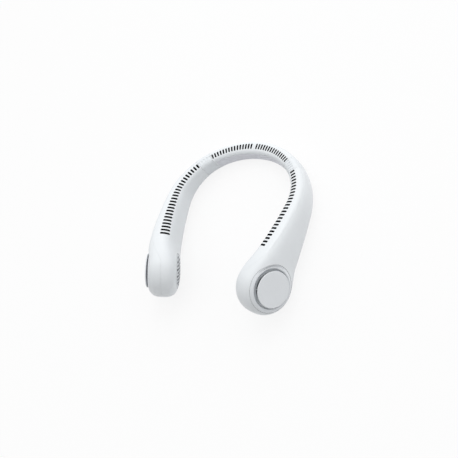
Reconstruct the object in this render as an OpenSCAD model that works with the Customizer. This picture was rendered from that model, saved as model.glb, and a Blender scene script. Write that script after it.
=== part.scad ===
// Bladeless neck fan: a U-shaped band with a blower head at each end and rows of air slots on its top edge.
// It lies as on a table: the back of the band at +Y, the open front at -Y, the floor at zero height.

/* [Band in plan] */
// Radius of the centre line round the back of the neck
rear_radius = 78.8; // [70:0.2:88]
// Length of that arc from the middle of the back to one side
rear_run = 59; // [56:0.5:64]
// Radius of the centre line over the shoulder
shoulder_radius = 69.5; // [62:0.5:78]
// Length of the shoulder arc
shoulder_run = 59.5; // [54:0.5:64]
// Radius of the centre line along the front of the arm
arm_radius = 383; // [300:1:500]
// Length of that arc, up to the middle of the head
arm_run = 88; // [84:0.5:94]

/* [Band section] */
// Height of the band at the middle of the back
rear_high = 19.2; // [18:0.2:22]
// Height at the flexible zone
flex_high = 25; // [23:0.2:28]
// Step in height from the head down to the arm in front of it
fore_step = 8.6; // [6:0.2:12]
// Thickness of the band at the middle of the back
rear_thick = 17.2; // [16:0.2:20]
// Thickness at the flexible zone
flex_thick = 17; // [16:0.2:20]
// Thickness of the arm in front of the head
fore_thick = 27.6; // [26:0.2:30]
// Height of the centre line over the table at the flexible zone
flex_z = 16.2; // [15:0.1:18]
// Rise of the centre line in front of the head over the middle of the head
fore_rise = 0.85; // [0:0.05:2]
// Distance along the centre line to the flexible zone's section
flex_at = 72.5; // [68:0.5:78]
// Distance from the head's middle back to the section in front of it
fore_back = 32; // [28:0.5:36]
// Wall of the plastic shells
wall = 1.6; // [1.2:0.1:1.8]
// Gap at the parting line between cover and casing
split_gap = 0.2; // [0.1:0.05:0.3]

/* [Head] */
// Diameter of the head
head_d = 58; // [56:0.5:60]
// Thickness of the head between its two domed faces
head_thick = 35.6; // [34.6:0.1:37]
// Width of the head's rim round the intake ring
rim_wide = 3.6; // [3.2:0.1:4]
// Width of the domed intake ring
ring_wide = 4.2; // [3.8:0.1:4.6]
// Gap between the ring's opening and the flat cap in it
cap_gap = 2.3; // [1.8:0.1:3]
// Height of the cap's face over the dome's crown
cap_proud = 0.3; // [0:0.1:0.8]
// Thickness of the cap
cap_thick = 1.2; // [1:0.1:1.5]
// Width of the head's inner face round the perforated plate
grille_rim = 9.8; // [9.4:0.1:10.4]
// Diameter of one hole in that plate
grille_hole_d = 2.8; // [2:0.1:3]
// Spacing of those holes
grille_pitch = 4.3; // [4:0.1:5]

/* [Air slots] */
// Number of slots on each half of the neck
neck_slots = 15; // [10:1:16]
// Number of slots on each arm
arm_slots = 24; // [16:1:26]
// Width of a neck slot
neck_slot_w = 1.7; // [1.2:0.1:2]
// Width of an arm slot
arm_slot_w = 2.1; // [1.4:0.1:2.4]
// Distance along the centre line to the first neck slot
neck_slot_from = 3.3; // [3:0.1:5]
// Distance along the centre line to the last neck slot
neck_slot_to = 51.4; // [49:0.1:51.6]
// Distance along the centre line to the first arm slot
arm_slot_from = 72.3; // [72.2:0.1:75]
// Distance from the head's middle back to the last arm slot
arm_slot_back = 35.6; // [34.6:0.1:46]

/* [Flexible zone] */
// Distance along the centre line to the end of the neck shells
flex_from = 53.3; // [53.2:0.1:54]
// Distance along the centre line to the start of the arm shells
flex_to = 70.4; // [69.5:0.1:70.5]
// Wall of the silicone sleeve
sleeve_wall = 2.4; // [2.2:0.1:2.8]
// Depth of the blind slots in the sleeve
sleeve_groove = 0.7; // [0.4:0.1:1]
// Thickness of the pad on the inner face of the neck
pad_thick = 0.8; // [0.5:0.1:0.9]
// Width of the steel spring strip
strip_wide = 5; // [4:0.5:6]
// Thickness of the spring strip
strip_thick = 0.5; // [0.4:0.1:0.8]

/* [Blower] */
// Gap between the impeller and the scroll where its spiral starts
impeller_gap = 2.2; // [1.8:0.1:3]
// Length of the impeller's blades along the shaft
blade_long = 13; // [11:0.5:13.5]
// Number of blades
blades = 28; // [16:1:32]
// Radius of the rotor cup
rotor_r = 8.5; // [8:0.1:9]
// Height of the rotor cup
rotor_high = 8; // [7:0.5:8.5]
// Diameter of the motor shaft
shaft_d = 1.5; // [1.2:0.1:2]
// Height of the blower scroll
scroll_high = 17.5; // [17:0.1:18]
// Wall of the blower scroll
scroll_wall = 1.2; // [1:0.1:1.4]
// Distance from the start of the scroll's spiral to the head's rim
scroll_rim = 8.4; // [8.2:0.1:8.6]
// Growth of the spiral's radius up to its outlet
scroll_growth = 3.6; // [3:0.1:3.8]

/* [Battery and controls] */
// Diameter of the battery cell
cell_d = 14; // [12:0.1:14.2]
// Length of the battery cell
cell_long = 43; // [38:1:44]
// Diameter of the power button
button_d = 8; // [7:0.1:9]
// Height of the button over the casing
button_proud = 0.8; // [0.5:0.1:1]
// Travel of the button
button_travel = 0.5; // [0.3:0.1:0.6]
// Diameter of one indicator light
light_d = 1.4; // [1:0.1:1.6]
// Width of the charging socket's mouth
socket_wide = 9; // [8.8:0.1:9.2]
// Height of the charging socket's mouth
socket_high = 3.2; // [3:0.1:3.4]
// Depth of the charging socket
socket_deep = 7.4; // [7:0.1:8]
// Thickness of the main board
board_thick = 1.2; // [1:0.1:1.6]
// Diameter of the wire bundle through the neck
cable_d = 2.4; // [2:0.1:2.8]

/* [Hidden] */
$fn = 48;
SIDED = ["arm_cover", "arm_casing", "flex_sleeve", "spring_strip", "flex_cable", "arm_cable", "duct_floor",
    "battery_cell", "intake_ring", "intake_cap", "inner_grille", "blower_scroll", "motor_base",
    "motor_stator", "motor_screws", "shaft_bearings", "motor_shaft", "rotor_cup", "rotor_magnet",
    "impeller"];

// Clearances and the overrun that every cut has past the surface it cuts
fit_gap = 0.15;
slide_gap = 0.3;
running_gap = 1;
over = 1;

// Leans of the section, in degrees: a negative lean tips the top towards the wearer
flex_lean = -4.6;
fore_lean = -12.3;
head_lean = -25.5;
squareness = 3.06;

// Parting line: its angle on the section, from the top towards the outside, at the four stations
split_angles = [52, 50, 22, 0];
// Ends of the air slots, outer and inner, as shares of the half thickness
slot_outer_shares = [0.42, 0.16, -0.05, -0.05];
slot_inner_shares = [-0.32, -0.54, -0.79, -0.79];

// Points round a full outer skin, and round the inner skin that nobody sees
outer_sides = 20;
inner_sides = 12;

// Centre line: three arcs that turn the same way, then straight on past the middle of the head
shoulder_at = rear_run + shoulder_run;
head_at = shoulder_at + arm_run;
fore_at = head_at - fore_back;
arm_slot_to = head_at - arm_slot_back;
ring_r = head_d / 2 - rim_wide;
intake_r = ring_r - ring_wide;
cap_r = intake_r - cap_gap;
grille_r = head_d / 2 - grille_rim;
scroll_r = head_d / 2 - scroll_rim;
impeller_r = scroll_r - impeller_gap;
stations = [0, flex_at, fore_at, head_at];
function clip(x, low, high) = max(low, min(high, x));
function arc_turn(run, radius) = run / radius * 180 / PI;
function arc_shift(start, run, radius) =
    let (end = start + arc_turn(run, radius)) radius * [sin(end) - sin(start), cos(end) - cos(start)];
rear_turn = arc_turn(rear_run, rear_radius);
shoulder_turn = rear_turn + arc_turn(shoulder_run, shoulder_radius);
head_turn = shoulder_turn + arc_turn(arm_run, arm_radius);
function rear_part(s) = clip(s, -rear_run, rear_run);
function shoulder_part(s) = clip(s - rear_run, 0, shoulder_run);
function arm_part(s) = clip(s - shoulder_at, 0, arm_run);
function past_head(s) = max(0, s - head_at);
function heading(s) = arc_turn(rear_part(s), rear_radius) + arc_turn(shoulder_part(s), shoulder_radius)
    + arc_turn(arm_part(s), arm_radius);
function line_at(s) = arc_shift(0, rear_part(s), rear_radius)
    + arc_shift(rear_turn, shoulder_part(s), shoulder_radius)
    + arc_shift(shoulder_turn, arm_part(s), arm_radius)
    + past_head(s) * [cos(head_turn), -sin(head_turn)];

// How far the head reaches in a direction with these parts across and along its axis
reach_power = squareness / (squareness - 1);
function head_reach(across, axial) = pow(pow(head_d / 2 * abs(across), reach_power)
    + pow(head_thick / 2 * abs(axial), reach_power), 1 / reach_power);
head_z = head_reach(cos(head_lean), sin(head_lean));
fore_z = head_z + fore_rise;
fore_high = head_d - fore_step;
head_front = head_reach(norm([sin(head_turn), cos(head_turn) * sin(head_lean)]),
    cos(head_turn) * cos(head_lean));
band_y = -(rear_thick / 2 + line_at(head_at)[1] - head_front) / 2;

// Smooth curve through one value at each station, level at both ends
function slope(v, at, i) =
    (i == 0 || i == len(at) - 1) ? 0 : (v[i + 1] - v[i - 1]) / (at[i + 1] - at[i - 1]);
function blend(v, at, i, u) =
    let (d = at[i + 1] - at[i], w = 1 - u)
    w * w * (1 + 2 * u) * v[i] + u * u * (1 + 2 * w) * v[i + 1]
    + u * w * d * (w * slope(v, at, i) - u * slope(v, at, i + 1));
function through(v, at, s) =
    let (t = clip(s, at[0], at[len(at) - 1]), i = max([for (k = [0 : len(at) - 2]) t >= at[k] ? k : 0]))
    blend(v, at, i, (t - at[i]) / (at[i + 1] - at[i]));
function along(v, s) = through(v, stations, abs(s));

function half_thick(s) = along([rear_thick, flex_thick, fore_thick, head_thick], s) / 2;
function half_high(s) = along([rear_high, flex_high, fore_high, head_d], s) / 2;
function mid_z(s) = along([rear_high / 2, flex_z, fore_z, head_z], s);
function lean(s) = along([0, flex_lean, fore_lean, head_lean], s);

// A point given as distance along the line, then outwards and upwards in the leaning section
function place(s, out, up) =
    let (q = line_at(s), h = heading(s), a = lean(s), side = out * cos(a) + up * sin(a))
    [q[0] + side * sin(h), q[1] + band_y + side * cos(h), mid_z(s) - out * sin(a) + up * cos(a)];

// Squared oval: the share of one half extent that is left where the other one has the share x
function oval(x) = pow(1 - pow(min(1, abs(x)), squareness), 1 / squareness);
function signed(x) = sign(x) * pow(abs(x), 2 / squareness);
// The same for the inside of the sleeve, which has flat facets
facet_table = [for (k = [0 : inner_sides / 4])
    let (a = k * 360 / inner_sides) [signed(sin(a)), signed(cos(a))]];
function facet(x) = lookup(min(1, abs(x)), facet_table);
// Inside face of a wall at a height, and inside top of a wall at an outward distance
function inner_out(s, up, inset) = (half_thick(s) - inset) * oval(up / (half_high(s) - inset));
function inner_up(s, out, inset) = (half_high(s) - inset) * oval(out / (half_thick(s) - inset));
// Height of the head's domed face at a radius from its axis
function dome(r, inset) = (head_thick / 2 - inset) * oval(r / (head_d / 2 - inset));

// Skin of the band at an angle from its top towards the outside; inset is the depth under the surface
function skin_point(s, a, inset) =
    let (r = head_d / 2 - inset, u = past_head(s) * r / (head_d / 2),
        v = sqrt(r * r - u * u) * signed(cos(a)))
    s <= head_at
    ? place(s, (half_thick(s) - inset) * signed(sin(a)), (half_high(s) - inset) * signed(cos(a)))
    : place(head_at + u, sign(sin(a)) * dome(norm([u, v]) + inset * norm([u, v]) / r, 0)
        * (head_thick / 2 - inset) / (head_thick / 2), v);
function ring(s, inset, sides) = [for (k = [0 : sides - 1]) skin_point(s, k * 360 / sides, inset)];

// Distances along the line: even steps, then the head's round end in even angles
function steps(from, to, count) = [for (k = [0 : count]) from + (to - from) * k / count];
end_angles = [16, 32, 47, 61, 74, 85];
head_end = [for (a = end_angles) head_at + head_d / 2 * sin(a)];

module mesh(rings) {
    n = len(rings[0]);
    m = len(rings);
    polyhedron([for (loop = rings) for (p = loop) p], concat(
        [[for (j = [n - 1 : -1 : 0]) j]],
        [[for (j = [0 : n - 1]) (m - 1) * n + j]],
        [for (i = [0 : m - 2]) for (j = [0 : n - 1])
            [i * n + j, i * n + (j + 1) % n, (i + 1) * n + (j + 1) % n]],
        [for (i = [0 : m - 2]) for (j = [0 : n - 1])
            [i * n + j, (i + 1) * n + (j + 1) % n, (i + 1) * n + j]]),
        convexity = 6);
}
module skin(stops, inset, sides) {
    mesh([for (s = stops) ring(s, inset, sides)]);
}
// Bar that follows the line, with its corners at out_1, out_2, up_1 and up_2
function corners(s, out_1, out_2, up_1, up_2) =
    [place(s, out_1, up_1), place(s, out_1, up_2), place(s, out_2, up_2), place(s, out_2, up_1)];
function wire_ring(s, out, up, d) =
    [for (k = [0 : 7]) place(s, out + d / 2 * sin(k * 45), up + d / 2 * cos(k * 45))];
// A point of the head's own frame: back along the band, up, and outwards along its axis
function in_head(back, up, out) = place(head_at, out, up) - back * [cos(head_turn), -sin(head_turn), 0];
function head_wire_ring(p, d) =
    [for (k = [0 : 7]) in_head(p[0], p[1] + d / 2 * cos(k * 45), p[2] + d / 2 * sin(k * 45))];

// Local frame on the line: X back along the band, Y up, Z outwards
module on_line(s) {
    q = line_at(s);
    translate([q[0], q[1] + band_y, mid_z(s)]) rotate([90 + lean(s), 0, 180 - heading(s)]) children();
}
module on_head() {
    on_line(head_at) children();
}
module at_height(z) {
    translate([0, 0, z]) children();
}
module disc(r, z_from, z_to) {
    at_height(z_from) cylinder(h = z_to - z_from, r = r);
}
module washer(r_out, r_in, z_from, z_to) {
    difference() {
        disc(r_out, z_from, z_to);
        disc(r_in, z_from - over, z_to + over);
    }
}

// Shells: each is the wall between two angles of the section, closed at its edges and at the head's tip
arm_stops = concat(steps(flex_to, head_at, 16), head_end);
neck_stops = steps(-flex_from, flex_from, 12);
cover_parts = 10;
casing_parts = 16;
function split_angle(s) = along(split_angles, s);
// A point of the parting line at a depth under the skin, moved along the skin by a shift towards the outside
function seam(s, inset, shift, way) =
    let (r = head_d / 2 - inset, u = past_head(s) * r / (head_d / 2), a = split_angle(s),
        across = [signed(sin(a)), signed(cos(a))] / norm([signed(sin(a)), signed(cos(a))]),
        p = [half_thick(s) * signed(sin(a)), half_high(s) * signed(cos(a))] - inset * across
            + shift * [across[1], -across[0]])
    s <= head_at ? place(s, p[0], way * p[1]) : place(head_at + u, shift, way * sqrt(r * r - u * u));
function cover_arc(s, inset) =
    let (a = split_angle(s), turn = (180 - 2 * a) / cover_parts)
    concat([seam(s, inset, split_gap / 2, 1)],
        [for (k = [1 : cover_parts - 1]) skin_point(s, a + k * turn, inset)],
        [seam(s, inset, split_gap / 2, -1)]);
function casing_arc(s, inset) =
    let (a = split_angle(s), turn = (180 + 2 * a) / casing_parts)
    concat([seam(s, inset, -split_gap / 2, -1)],
        [for (k = [1 : casing_parts - 1]) skin_point(s, 180 - a + k * turn, inset)],
        [seam(s, inset, -split_gap / 2, 1)]);
function backwards(list) = [for (k = [len(list) - 1 : -1 : 0]) list[k]];
function round_tip(n) = concat([for (j = [1 : n - 1]) [0, j, j + 1]],
    [for (j = [1 : n - 1]) [n + 1, n + 1 + j, n + 2 + j]], [[0, n, n + 1], [0, n + 1, 2 * n + 1]]);
function open_end(n) = concat([for (j = [0 : n - 1]) [j, j + 1, 2 * n - j]],
    [for (j = [0 : n - 1]) [j, 2 * n - j, 2 * n + 1 - j]]);
module shell(rings, n, closed) {
    m = 2 * n + 2;
    last = (len(rings) - 1) * m;
    polyhedron([for (loop = rings) for (p = loop) p], concat(
        [for (i = [0 : len(rings) - 2]) for (j = [0 : m - 1])
            [i * m + j, i * m + (j + 1) % m, (i + 1) * m + (j + 1) % m]],
        [for (i = [0 : len(rings) - 2]) for (j = [0 : m - 1])
            [i * m + j, (i + 1) * m + (j + 1) % m, (i + 1) * m + j]],
        [for (j = [0 : n - 1]) [m - 1 - j, 2 * n - j, j + 1]],
        [for (j = [0 : n - 1]) [m - 1 - j, j + 1, j]],
        [for (face = closed ? round_tip(n) : open_end(n)) [for (corner = face) last + corner]]),
        convexity = 8);
}
module cover_shell(stops, closed) {
    shell([for (s = stops) concat(cover_arc(s, 0), backwards(cover_arc(s, wall)))], cover_parts, closed);
}
module casing_shell(stops, closed) {
    shell([for (s = stops) concat(casing_arc(s, 0), backwards(casing_arc(s, wall)))], casing_parts, closed);
}
// Upright stadium through the top wall, its ends at outward distances out_1 and out_2
module slot_cut(s, w, out_1, out_2, top, bottom) {
    on_line(s) hull() {
        for (out = [out_1 - w / 2, out_2 + w / 2])
            translate([0, bottom, out]) rotate([-90, 0, 0]) cylinder(h = top - bottom, d = w, $fn = 6);
    }
}
module air_slot(s, w) {
    outer = along(slot_outer_shares, s) * half_thick(s);
    inner = along(slot_inner_shares, s) * half_thick(s);
    slot_cut(abs(s), w, outer, inner, half_high(s) + over, inner_up(s, inner, wall) - over);
}
// Snap tabs that hold cover and casing together: they start in the cover's wall and run under the casing's
tab_long = 3;
tab_thick = 1;
tab_reach = 2.2;
tab_root = 2.6;
tab_drop = 1.75;
root_share = 0.8;
// A step along the skin turns the section's angle by about a hundredth of its two half sizes
function skin_turn(s, reach) = 100 * reach / (half_thick(s) + half_high(s));
function tab_point(s, turn, inset) =
    let (a = split_angle(s) + turn)
    [(half_thick(s) - inset) * signed(sin(a)), (half_high(s) - inset) * signed(cos(a))];
module tab_rod(p, way) {
    translate([-tab_long / 2, way * p[1], p[0]]) rotate([0, 90, 0])
        cylinder(h = tab_long, d = tab_thick, $fn = 8);
}
module snap_tab(s, way) {
    on_line(s) hull() {
        tab_rod(tab_point(s, -skin_turn(s, tab_reach), wall + tab_drop), way);
        tab_rod(tab_point(s, skin_turn(s, tab_root), root_share * wall), way);
    }
}

cover_white = [0.93, 0.95, 0.96];
// Half a facet's turn keeps the corners of the round cuts off the edges of the skin
half_facet = 180 / $fn;
module neck_cover() {
    color(cover_white) {
        cover_shell(neck_stops, false);
        for (s = steps(-flex_from + 2 * tab_long, flex_from - 2 * tab_long, 5))
            for (way = [-1, 1]) snap_tab(s, way);
    }
}
pad_angle = 30;
pad_from = flex_from - 3 * pad_thick;
pad_turn = 12;
module pad_form(grow) {
    angles = steps(-90 - pad_angle - pad_turn * grow, -90 + pad_angle + pad_turn * grow, 5);
    mesh([for (s = steps(-pad_from - grow, pad_from + grow, 16))
        concat([for (a = angles) skin_point(s, a, grow > 0 ? -over : 0)],
            [for (k = [5 : -1 : 0]) skin_point(s, angles[k], pad_thick + grow)])]);
}
module neck_casing() {
    color(cover_white) difference() {
        casing_shell(neck_stops, false);
        pad_form(fit_gap);
        for (s = steps(neck_slot_from, neck_slot_to, neck_slots - 1), way = [0, 1])
            mirror([way, 0, 0]) air_slot(s, neck_slot_w);
    }
}
module neck_pad() {
    color([0.78, 0.79, 0.84]) pad_form(0);
}
// The wire bundle lies on the bottom wall of the neck and steps over the tabs of the flexible zone
tab_step = 2;
function cable_lift(s) =
    through([slide_gap, slide_gap, tab_step], [0, pad_from - 4 * tab_long, pad_from], abs(s));
function cable_up(s) = -(half_high(s) - wall - cable_lift(s) - cable_d / 2);
module band_cable(stops) {
    color([0.25, 0.25, 0.28]) mesh([for (s = stops) wire_ring(s, 0, cable_up(s), cable_d)]);
}
module neck_cable() {
    band_cable(steps(-flex_from + 2 * tab_long, flex_from - 2 * tab_long, 16));
}

module arm_cover() {
    color(cover_white) {
        difference() {
            cover_shell(arm_stops, true);
            on_head() rotate([0, 0, half_facet]) disc(ring_r + fit_gap, 0, head_thick);
        }
        for (s = steps(flex_to + 2 * tab_long, fore_at - 4 * tab_long, 5)) {
            snap_tab(s, 1);
            if (abs(s - cell_at) > cell_long / 2 + tab_long) snap_tab(s, -1);
        }
    }
}
boss_r = 2.2;
boss_out = 0.6;
boss_at = scroll_r + boss_out;
boss_angles = [70, 190, 290];
module arm_casing(right) {
    color(cover_white) difference() {
        union() {
            casing_shell(arm_stops, true);
            on_head() for (a = boss_angles) rotate([0, 0, a]) translate([boss_at, 0, 0])
                at_height(-dome(boss_at, wall) - wall / 2)
                cylinder(h = dome(boss_at, wall) + wall / 2 + scroll_low, r = boss_r, $fn = 12);
            if (right) on_board() board_screw_places() {
                low = -inner_out(board_at, board_up, wall) - wall / 2;
                at_height(low) cylinder(h = board_face - low, r = board_boss_r, $fn = 12);
            }
        }
        on_head() rotate([0, 0, half_facet])
            disc(grille_r + fit_gap, -head_thick, -dome(grille_r, wall) + over);
        for (s = steps(arm_slot_from, arm_slot_to, arm_slots - 1)) air_slot(s, arm_slot_w);
        if (right) control_cuts();
    }
}

// Flexible zone
sleeve_from = flex_from + fit_gap;
sleeve_to = flex_to - fit_gap;
sleeve_pitch = (arm_slot_from - neck_slot_to) / 6;
module flex_sleeve() {
    color([0.90, 0.92, 0.93]) {
        difference() {
            skin(steps(sleeve_from, sleeve_to, 6), 0, outer_sides);
            skin(steps(sleeve_from - over, sleeve_to + over, 4), sleeve_wall, inner_sides);
            for (k = [1 : 5]) blind_slot(neck_slot_to + k * sleeve_pitch);
        }
        for (s = [sleeve_from, sleeve_to], way = [-1, 1]) sleeve_tab(s, way);
    }
}
module blind_slot(s) {
    outer = along(slot_outer_shares, s) * half_thick(s);
    inner = along(slot_inner_shares, s) * half_thick(s);
    up = inner_up(s, inner, 0) - sleeve_groove;
    slot_cut(s, neck_slot_w, outer, inner, half_high(s) + over, up);
}
module sleeve_tab(s, way) {
    up = inner_up(s, tab_long / 2, wall) - 2 * fit_gap - slide_gap / 2;
    on_line(s) hull() {
        for (x = [-tab_long / 2, tab_long / 2])
            translate([x, way > 0 ? up - tab_thick : -up, 0]) rotate([-90, 0, 0])
                cylinder(h = tab_thick, d = tab_long, $fn = 10);
    }
}
strip_from = flex_from - 2 * strip_wide;
strip_to = flex_to + 2 * strip_wide;
function strip_out(s) =
    slide_gap - (half_thick(s) - sleeve_wall) * facet(strip_wide / 2 / (half_high(s) - sleeve_wall));
module spring_strip() {
    color([0.66, 0.67, 0.70]) mesh([for (s = steps(strip_from, strip_to, 12))
        corners(s, strip_out(s), strip_out(s) + strip_thick, -strip_wide / 2, strip_wide / 2)]);
}
cable_from = flex_from - 2 * tab_long;
cable_to = flex_to + 2 * tab_long;
module flex_cable() {
    band_cable(steps(cable_from, cable_to, 8));
}

// Head: the blower stack along the head's axis, seen from its middle plane
scroll_low = -9.5;
scroll_top = scroll_low + scroll_high;
impeller_low = scroll_low + scroll_wall + running_gap;
impeller_top = impeller_low + blade_long;
inlet_margin = 5;
inlet_r = impeller_r - inlet_margin;
tongue_angle = 20;
outlet_reach = 3.4;
outlet_x = scroll_r + outlet_reach;
outlet_top = scroll_r - outlet_reach;
outlet_low = 4;
spiral_steps = 36;
base_thick = 1.2;
base_top = scroll_top + base_thick;
screw_margin = 2;
screw_ring_r = impeller_r - screw_margin;
base_margin = 0.4;
base_ring_r = impeller_r - base_margin;
basket_low = base_top + over + 2 * slide_gap;

// Arm: battery cell behind the board, floor of the air duct over it, and the lead to the motor
board_long = 18;
board_gap = 1.9;
board_at = head_at - scroll_r - board_gap - board_long / 2;
cell_gap = 3.5;
cell_at = board_at - board_long / 2 - cell_gap - cell_long / 2;
cell_shift = -0.8;
cell_up = -(half_high(cell_at) - wall - cell_d / 2 - 2 * slide_gap);
cell_z = place(cell_at, cell_shift, cell_up)[2];
module battery_cell() {
    translate(place(cell_at, cell_shift, cell_up)) rotate([0, 90, 180 - heading(cell_at)]) {
        color([0.20, 0.42, 0.70]) at_height(-cell_long / 2) cylinder(h = cell_long, d = cell_d);
        color([0.80, 0.80, 0.80]) at_height(cell_long / 2) cylinder(h = over, d = cell_d / 3);
    }
}
floor_thick = 1.2;
floor_low = 7.2;
floor_from = flex_to + 2 * tab_long;
floor_gap = 1.9;
floor_to = head_at - outlet_x - floor_gap;
floor_over = cell_z + cell_d / 2 + slide_gap + floor_thick;
floor_stations = [floor_from, cell_at - cell_long / 2, cell_at + cell_long / 2, floor_to];
floor_end = head_z + outlet_low - floor_thick;
floor_heights = [flex_z - flex_high / 2 + floor_low, floor_over, floor_over, floor_end];
function floor_up(s) = (through(floor_heights, floor_stations, s) - mid_z(s)) / cos(lean(s));
module duct_floor() {
    color([0.82, 0.83, 0.85]) mesh([for (s = steps(floor_from, floor_to, 16))
        let (up = floor_up(s),
            half = inner_out(s, abs(up) + floor_thick / 2, wall) - 2 * fit_gap - slide_gap / 2,
            outer = s > head_at - ring_r - over ? min(half, basket_low - over) : half)
        corners(s, -half, outer, up - floor_thick / 2, up + floor_thick / 2)]);
}
// Lead from the wire bundle: beside the cell on its outer side, then over the scroll to the motor's base
lead_d = 1.6;
lead_side = 0.6;
lead_end_z = 24;
lead_stations = [cable_to, cell_at - cell_long / 2 - lead_d, cell_at + cell_long / 2 + lead_d, fore_at];
lead_over_cell = 4.4;
lead_start_z = place(cable_to, 0, cable_up(cable_to))[2];
lead_heights = [lead_start_z, cell_z + lead_over_cell, cell_z + lead_over_cell, lead_end_z];
function lead_side_share(s) = clip((s - lead_stations[0]) / (lead_stations[1] - lead_stations[0]), 0, 1);
function lead_level(s) = (through(lead_heights, lead_stations, s) - mid_z(s)) / cos(lean(s));
function lead_out(s) = lead_side_share(s) * (inner_out(s, lead_level(s), wall) - lead_d / 2 - lead_side);
function lead_up(s) = lead_level(s) + lead_out(s) * tan(lean(s));
lead_run = 3.5;
lead_fall = [-8.4, -7.2, -6];
lead_rise = [8.9, 9.5, base_top + lead_d / 2];
lead_in_head = [for (k = [0 : 2])
    [base_ring_r + (2 - k) * lead_run - (k == 2 ? lead_d : 0), lead_fall[k], lead_rise[k]]];
module arm_cable() {
    color([0.25, 0.25, 0.28]) mesh(concat(
        [for (s = steps(cable_to, fore_at, 16)) wire_ring(s, lead_out(s), lead_up(s), lead_d)],
        [for (p = lead_in_head) head_wire_ring(p, lead_d)]));
}

// Blower scroll: a spiral that opens into the band
function spiral(inset) = [for (k = [0 : spiral_steps]) let (share = k / spiral_steps,
    a = tongue_angle - share * (tongue_angle + 270), r = scroll_r + share * scroll_growth - inset)
    r * [cos(a), sin(a)]];
function scroll_outline(inset, mouth) = concat(spiral(inset),
    [[outlet_x + mouth, outlet_top - inset], [outlet_x + mouth, outlet_low + inset]]);
module blower_scroll() {
    color([0.86, 0.87, 0.89]) on_head() difference() {
        at_height(scroll_low) linear_extrude(scroll_high) polygon(scroll_outline(0, 0));
        at_height(scroll_low + scroll_wall) linear_extrude(scroll_high - 2 * scroll_wall)
            polygon(scroll_outline(scroll_wall, over));
        disc(inlet_r, scroll_low - over, scroll_top + over);
        motor_screw_places() disc(screw_r + fit_gap / 3, scroll_top - scroll_wall - over, scroll_top + over);
    }
}
screw_r = 0.75;
screw_head_r = 1.4;
module motor_screw_places() {
    for (a = [30, 150, 270]) rotate([0, 0, a]) translate([screw_ring_r, 0, 0]) children();
}
tube_r = 2.8;
bearing_r = 2;
bearing_long = 2;
hub_r = 6;
spoke_wide = 2.4;
module motor_base() {
    color([0.30, 0.31, 0.34]) on_head() difference() {
        union() {
            washer(base_ring_r, inlet_r + over, scroll_top, base_top);
            disc(hub_r, scroll_top, base_top);
            for (a = [30, 150, 270]) rotate([0, 0, a])
                translate([hub_r - over, -spoke_wide / 2, scroll_top + fit_gap])
                cube([inlet_r + 2 * over + fit_gap - hub_r, spoke_wide, base_thick - 2 * fit_gap]);
            disc(tube_r, rotor_low + 2 * rotor_wall, scroll_top + over / 2);
        }
        disc(bearing_r, rotor_low, base_top + over);
        motor_screw_places() disc(screw_r + fit_gap / 3, scroll_top - over, base_top + over);
    }
}
module motor_screws() {
    color([0.55, 0.56, 0.58]) on_head() motor_screw_places() {
        disc(screw_r, scroll_top - scroll_wall, base_top);
        difference() {
            disc(screw_head_r, base_top, base_top + screw_head_high);
            at_height(base_top + screw_head_high / 2) cylinder(h = over, r = screw_head_r / 2, $fn = 6);
        }
    }
}
rotor_wall = 1;
rotor_low = -rotor_high / 2;
magnet_thick = 0.8;
stator_r = rotor_r - rotor_wall - magnet_thick - slide_gap;
stator_high = 5;
stator_low = rotor_low + 2 * rotor_wall + slide_gap;
teeth = 9;
module motor_stator() {
    color([0.72, 0.45, 0.20]) on_head() difference() {
        union() {
            disc(tube_r + over, stator_low, stator_low + stator_high);
            for (k = [0 : teeth - 1]) rotate([0, 0, k * 360 / teeth]) {
                translate([tube_r, -over / 2, stator_low])
                    cube([stator_r - tube_r - over / 2, over, stator_high]);
                intersection() {
                    washer(stator_r, stator_r - over, stator_low, stator_low + stator_high);
                    translate([0, -over, stator_low]) cube([stator_r + over, 2 * over, stator_high]);
                }
            }
        }
        disc(tube_r + fit_gap / 3, stator_low - over, stator_low + stator_high + over);
    }
}
bearing_places = [rotor_low + 2 * rotor_wall + slide_gap, base_top - bearing_long];
module shaft_bearings() {
    color([0.75, 0.62, 0.35]) on_head() for (z = bearing_places)
        washer(bearing_r - fit_gap / 3, shaft_d / 2 + fit_gap / 3, z, z + bearing_long);
}
module motor_shaft() {
    color([0.75, 0.76, 0.78]) on_head() disc(shaft_d / 2, rotor_low, base_top + over / 2);
}
module rotor_cup() {
    color([0.62, 0.63, 0.66]) on_head() difference() {
        disc(rotor_r, rotor_low, rotor_low + rotor_high);
        disc(rotor_r - rotor_wall, rotor_low + rotor_wall, rotor_low + rotor_high + over);
        disc(shaft_d / 2, rotor_low - over, rotor_low + 2 * over);
    }
}
module rotor_magnet() {
    color([0.18, 0.18, 0.20]) on_head() washer(rotor_r - rotor_wall, rotor_r - rotor_wall - magnet_thick,
        rotor_low + rotor_wall + slide_gap, rotor_low + rotor_high - slide_gap);
}
rim_wall = 0.9;
blade_chord = 4;
blade_in_r = impeller_r - blade_chord;
blade_lead = 9;
blade_wide = 0.7;
blade_points = 4;
plate_thick = 1;
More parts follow.
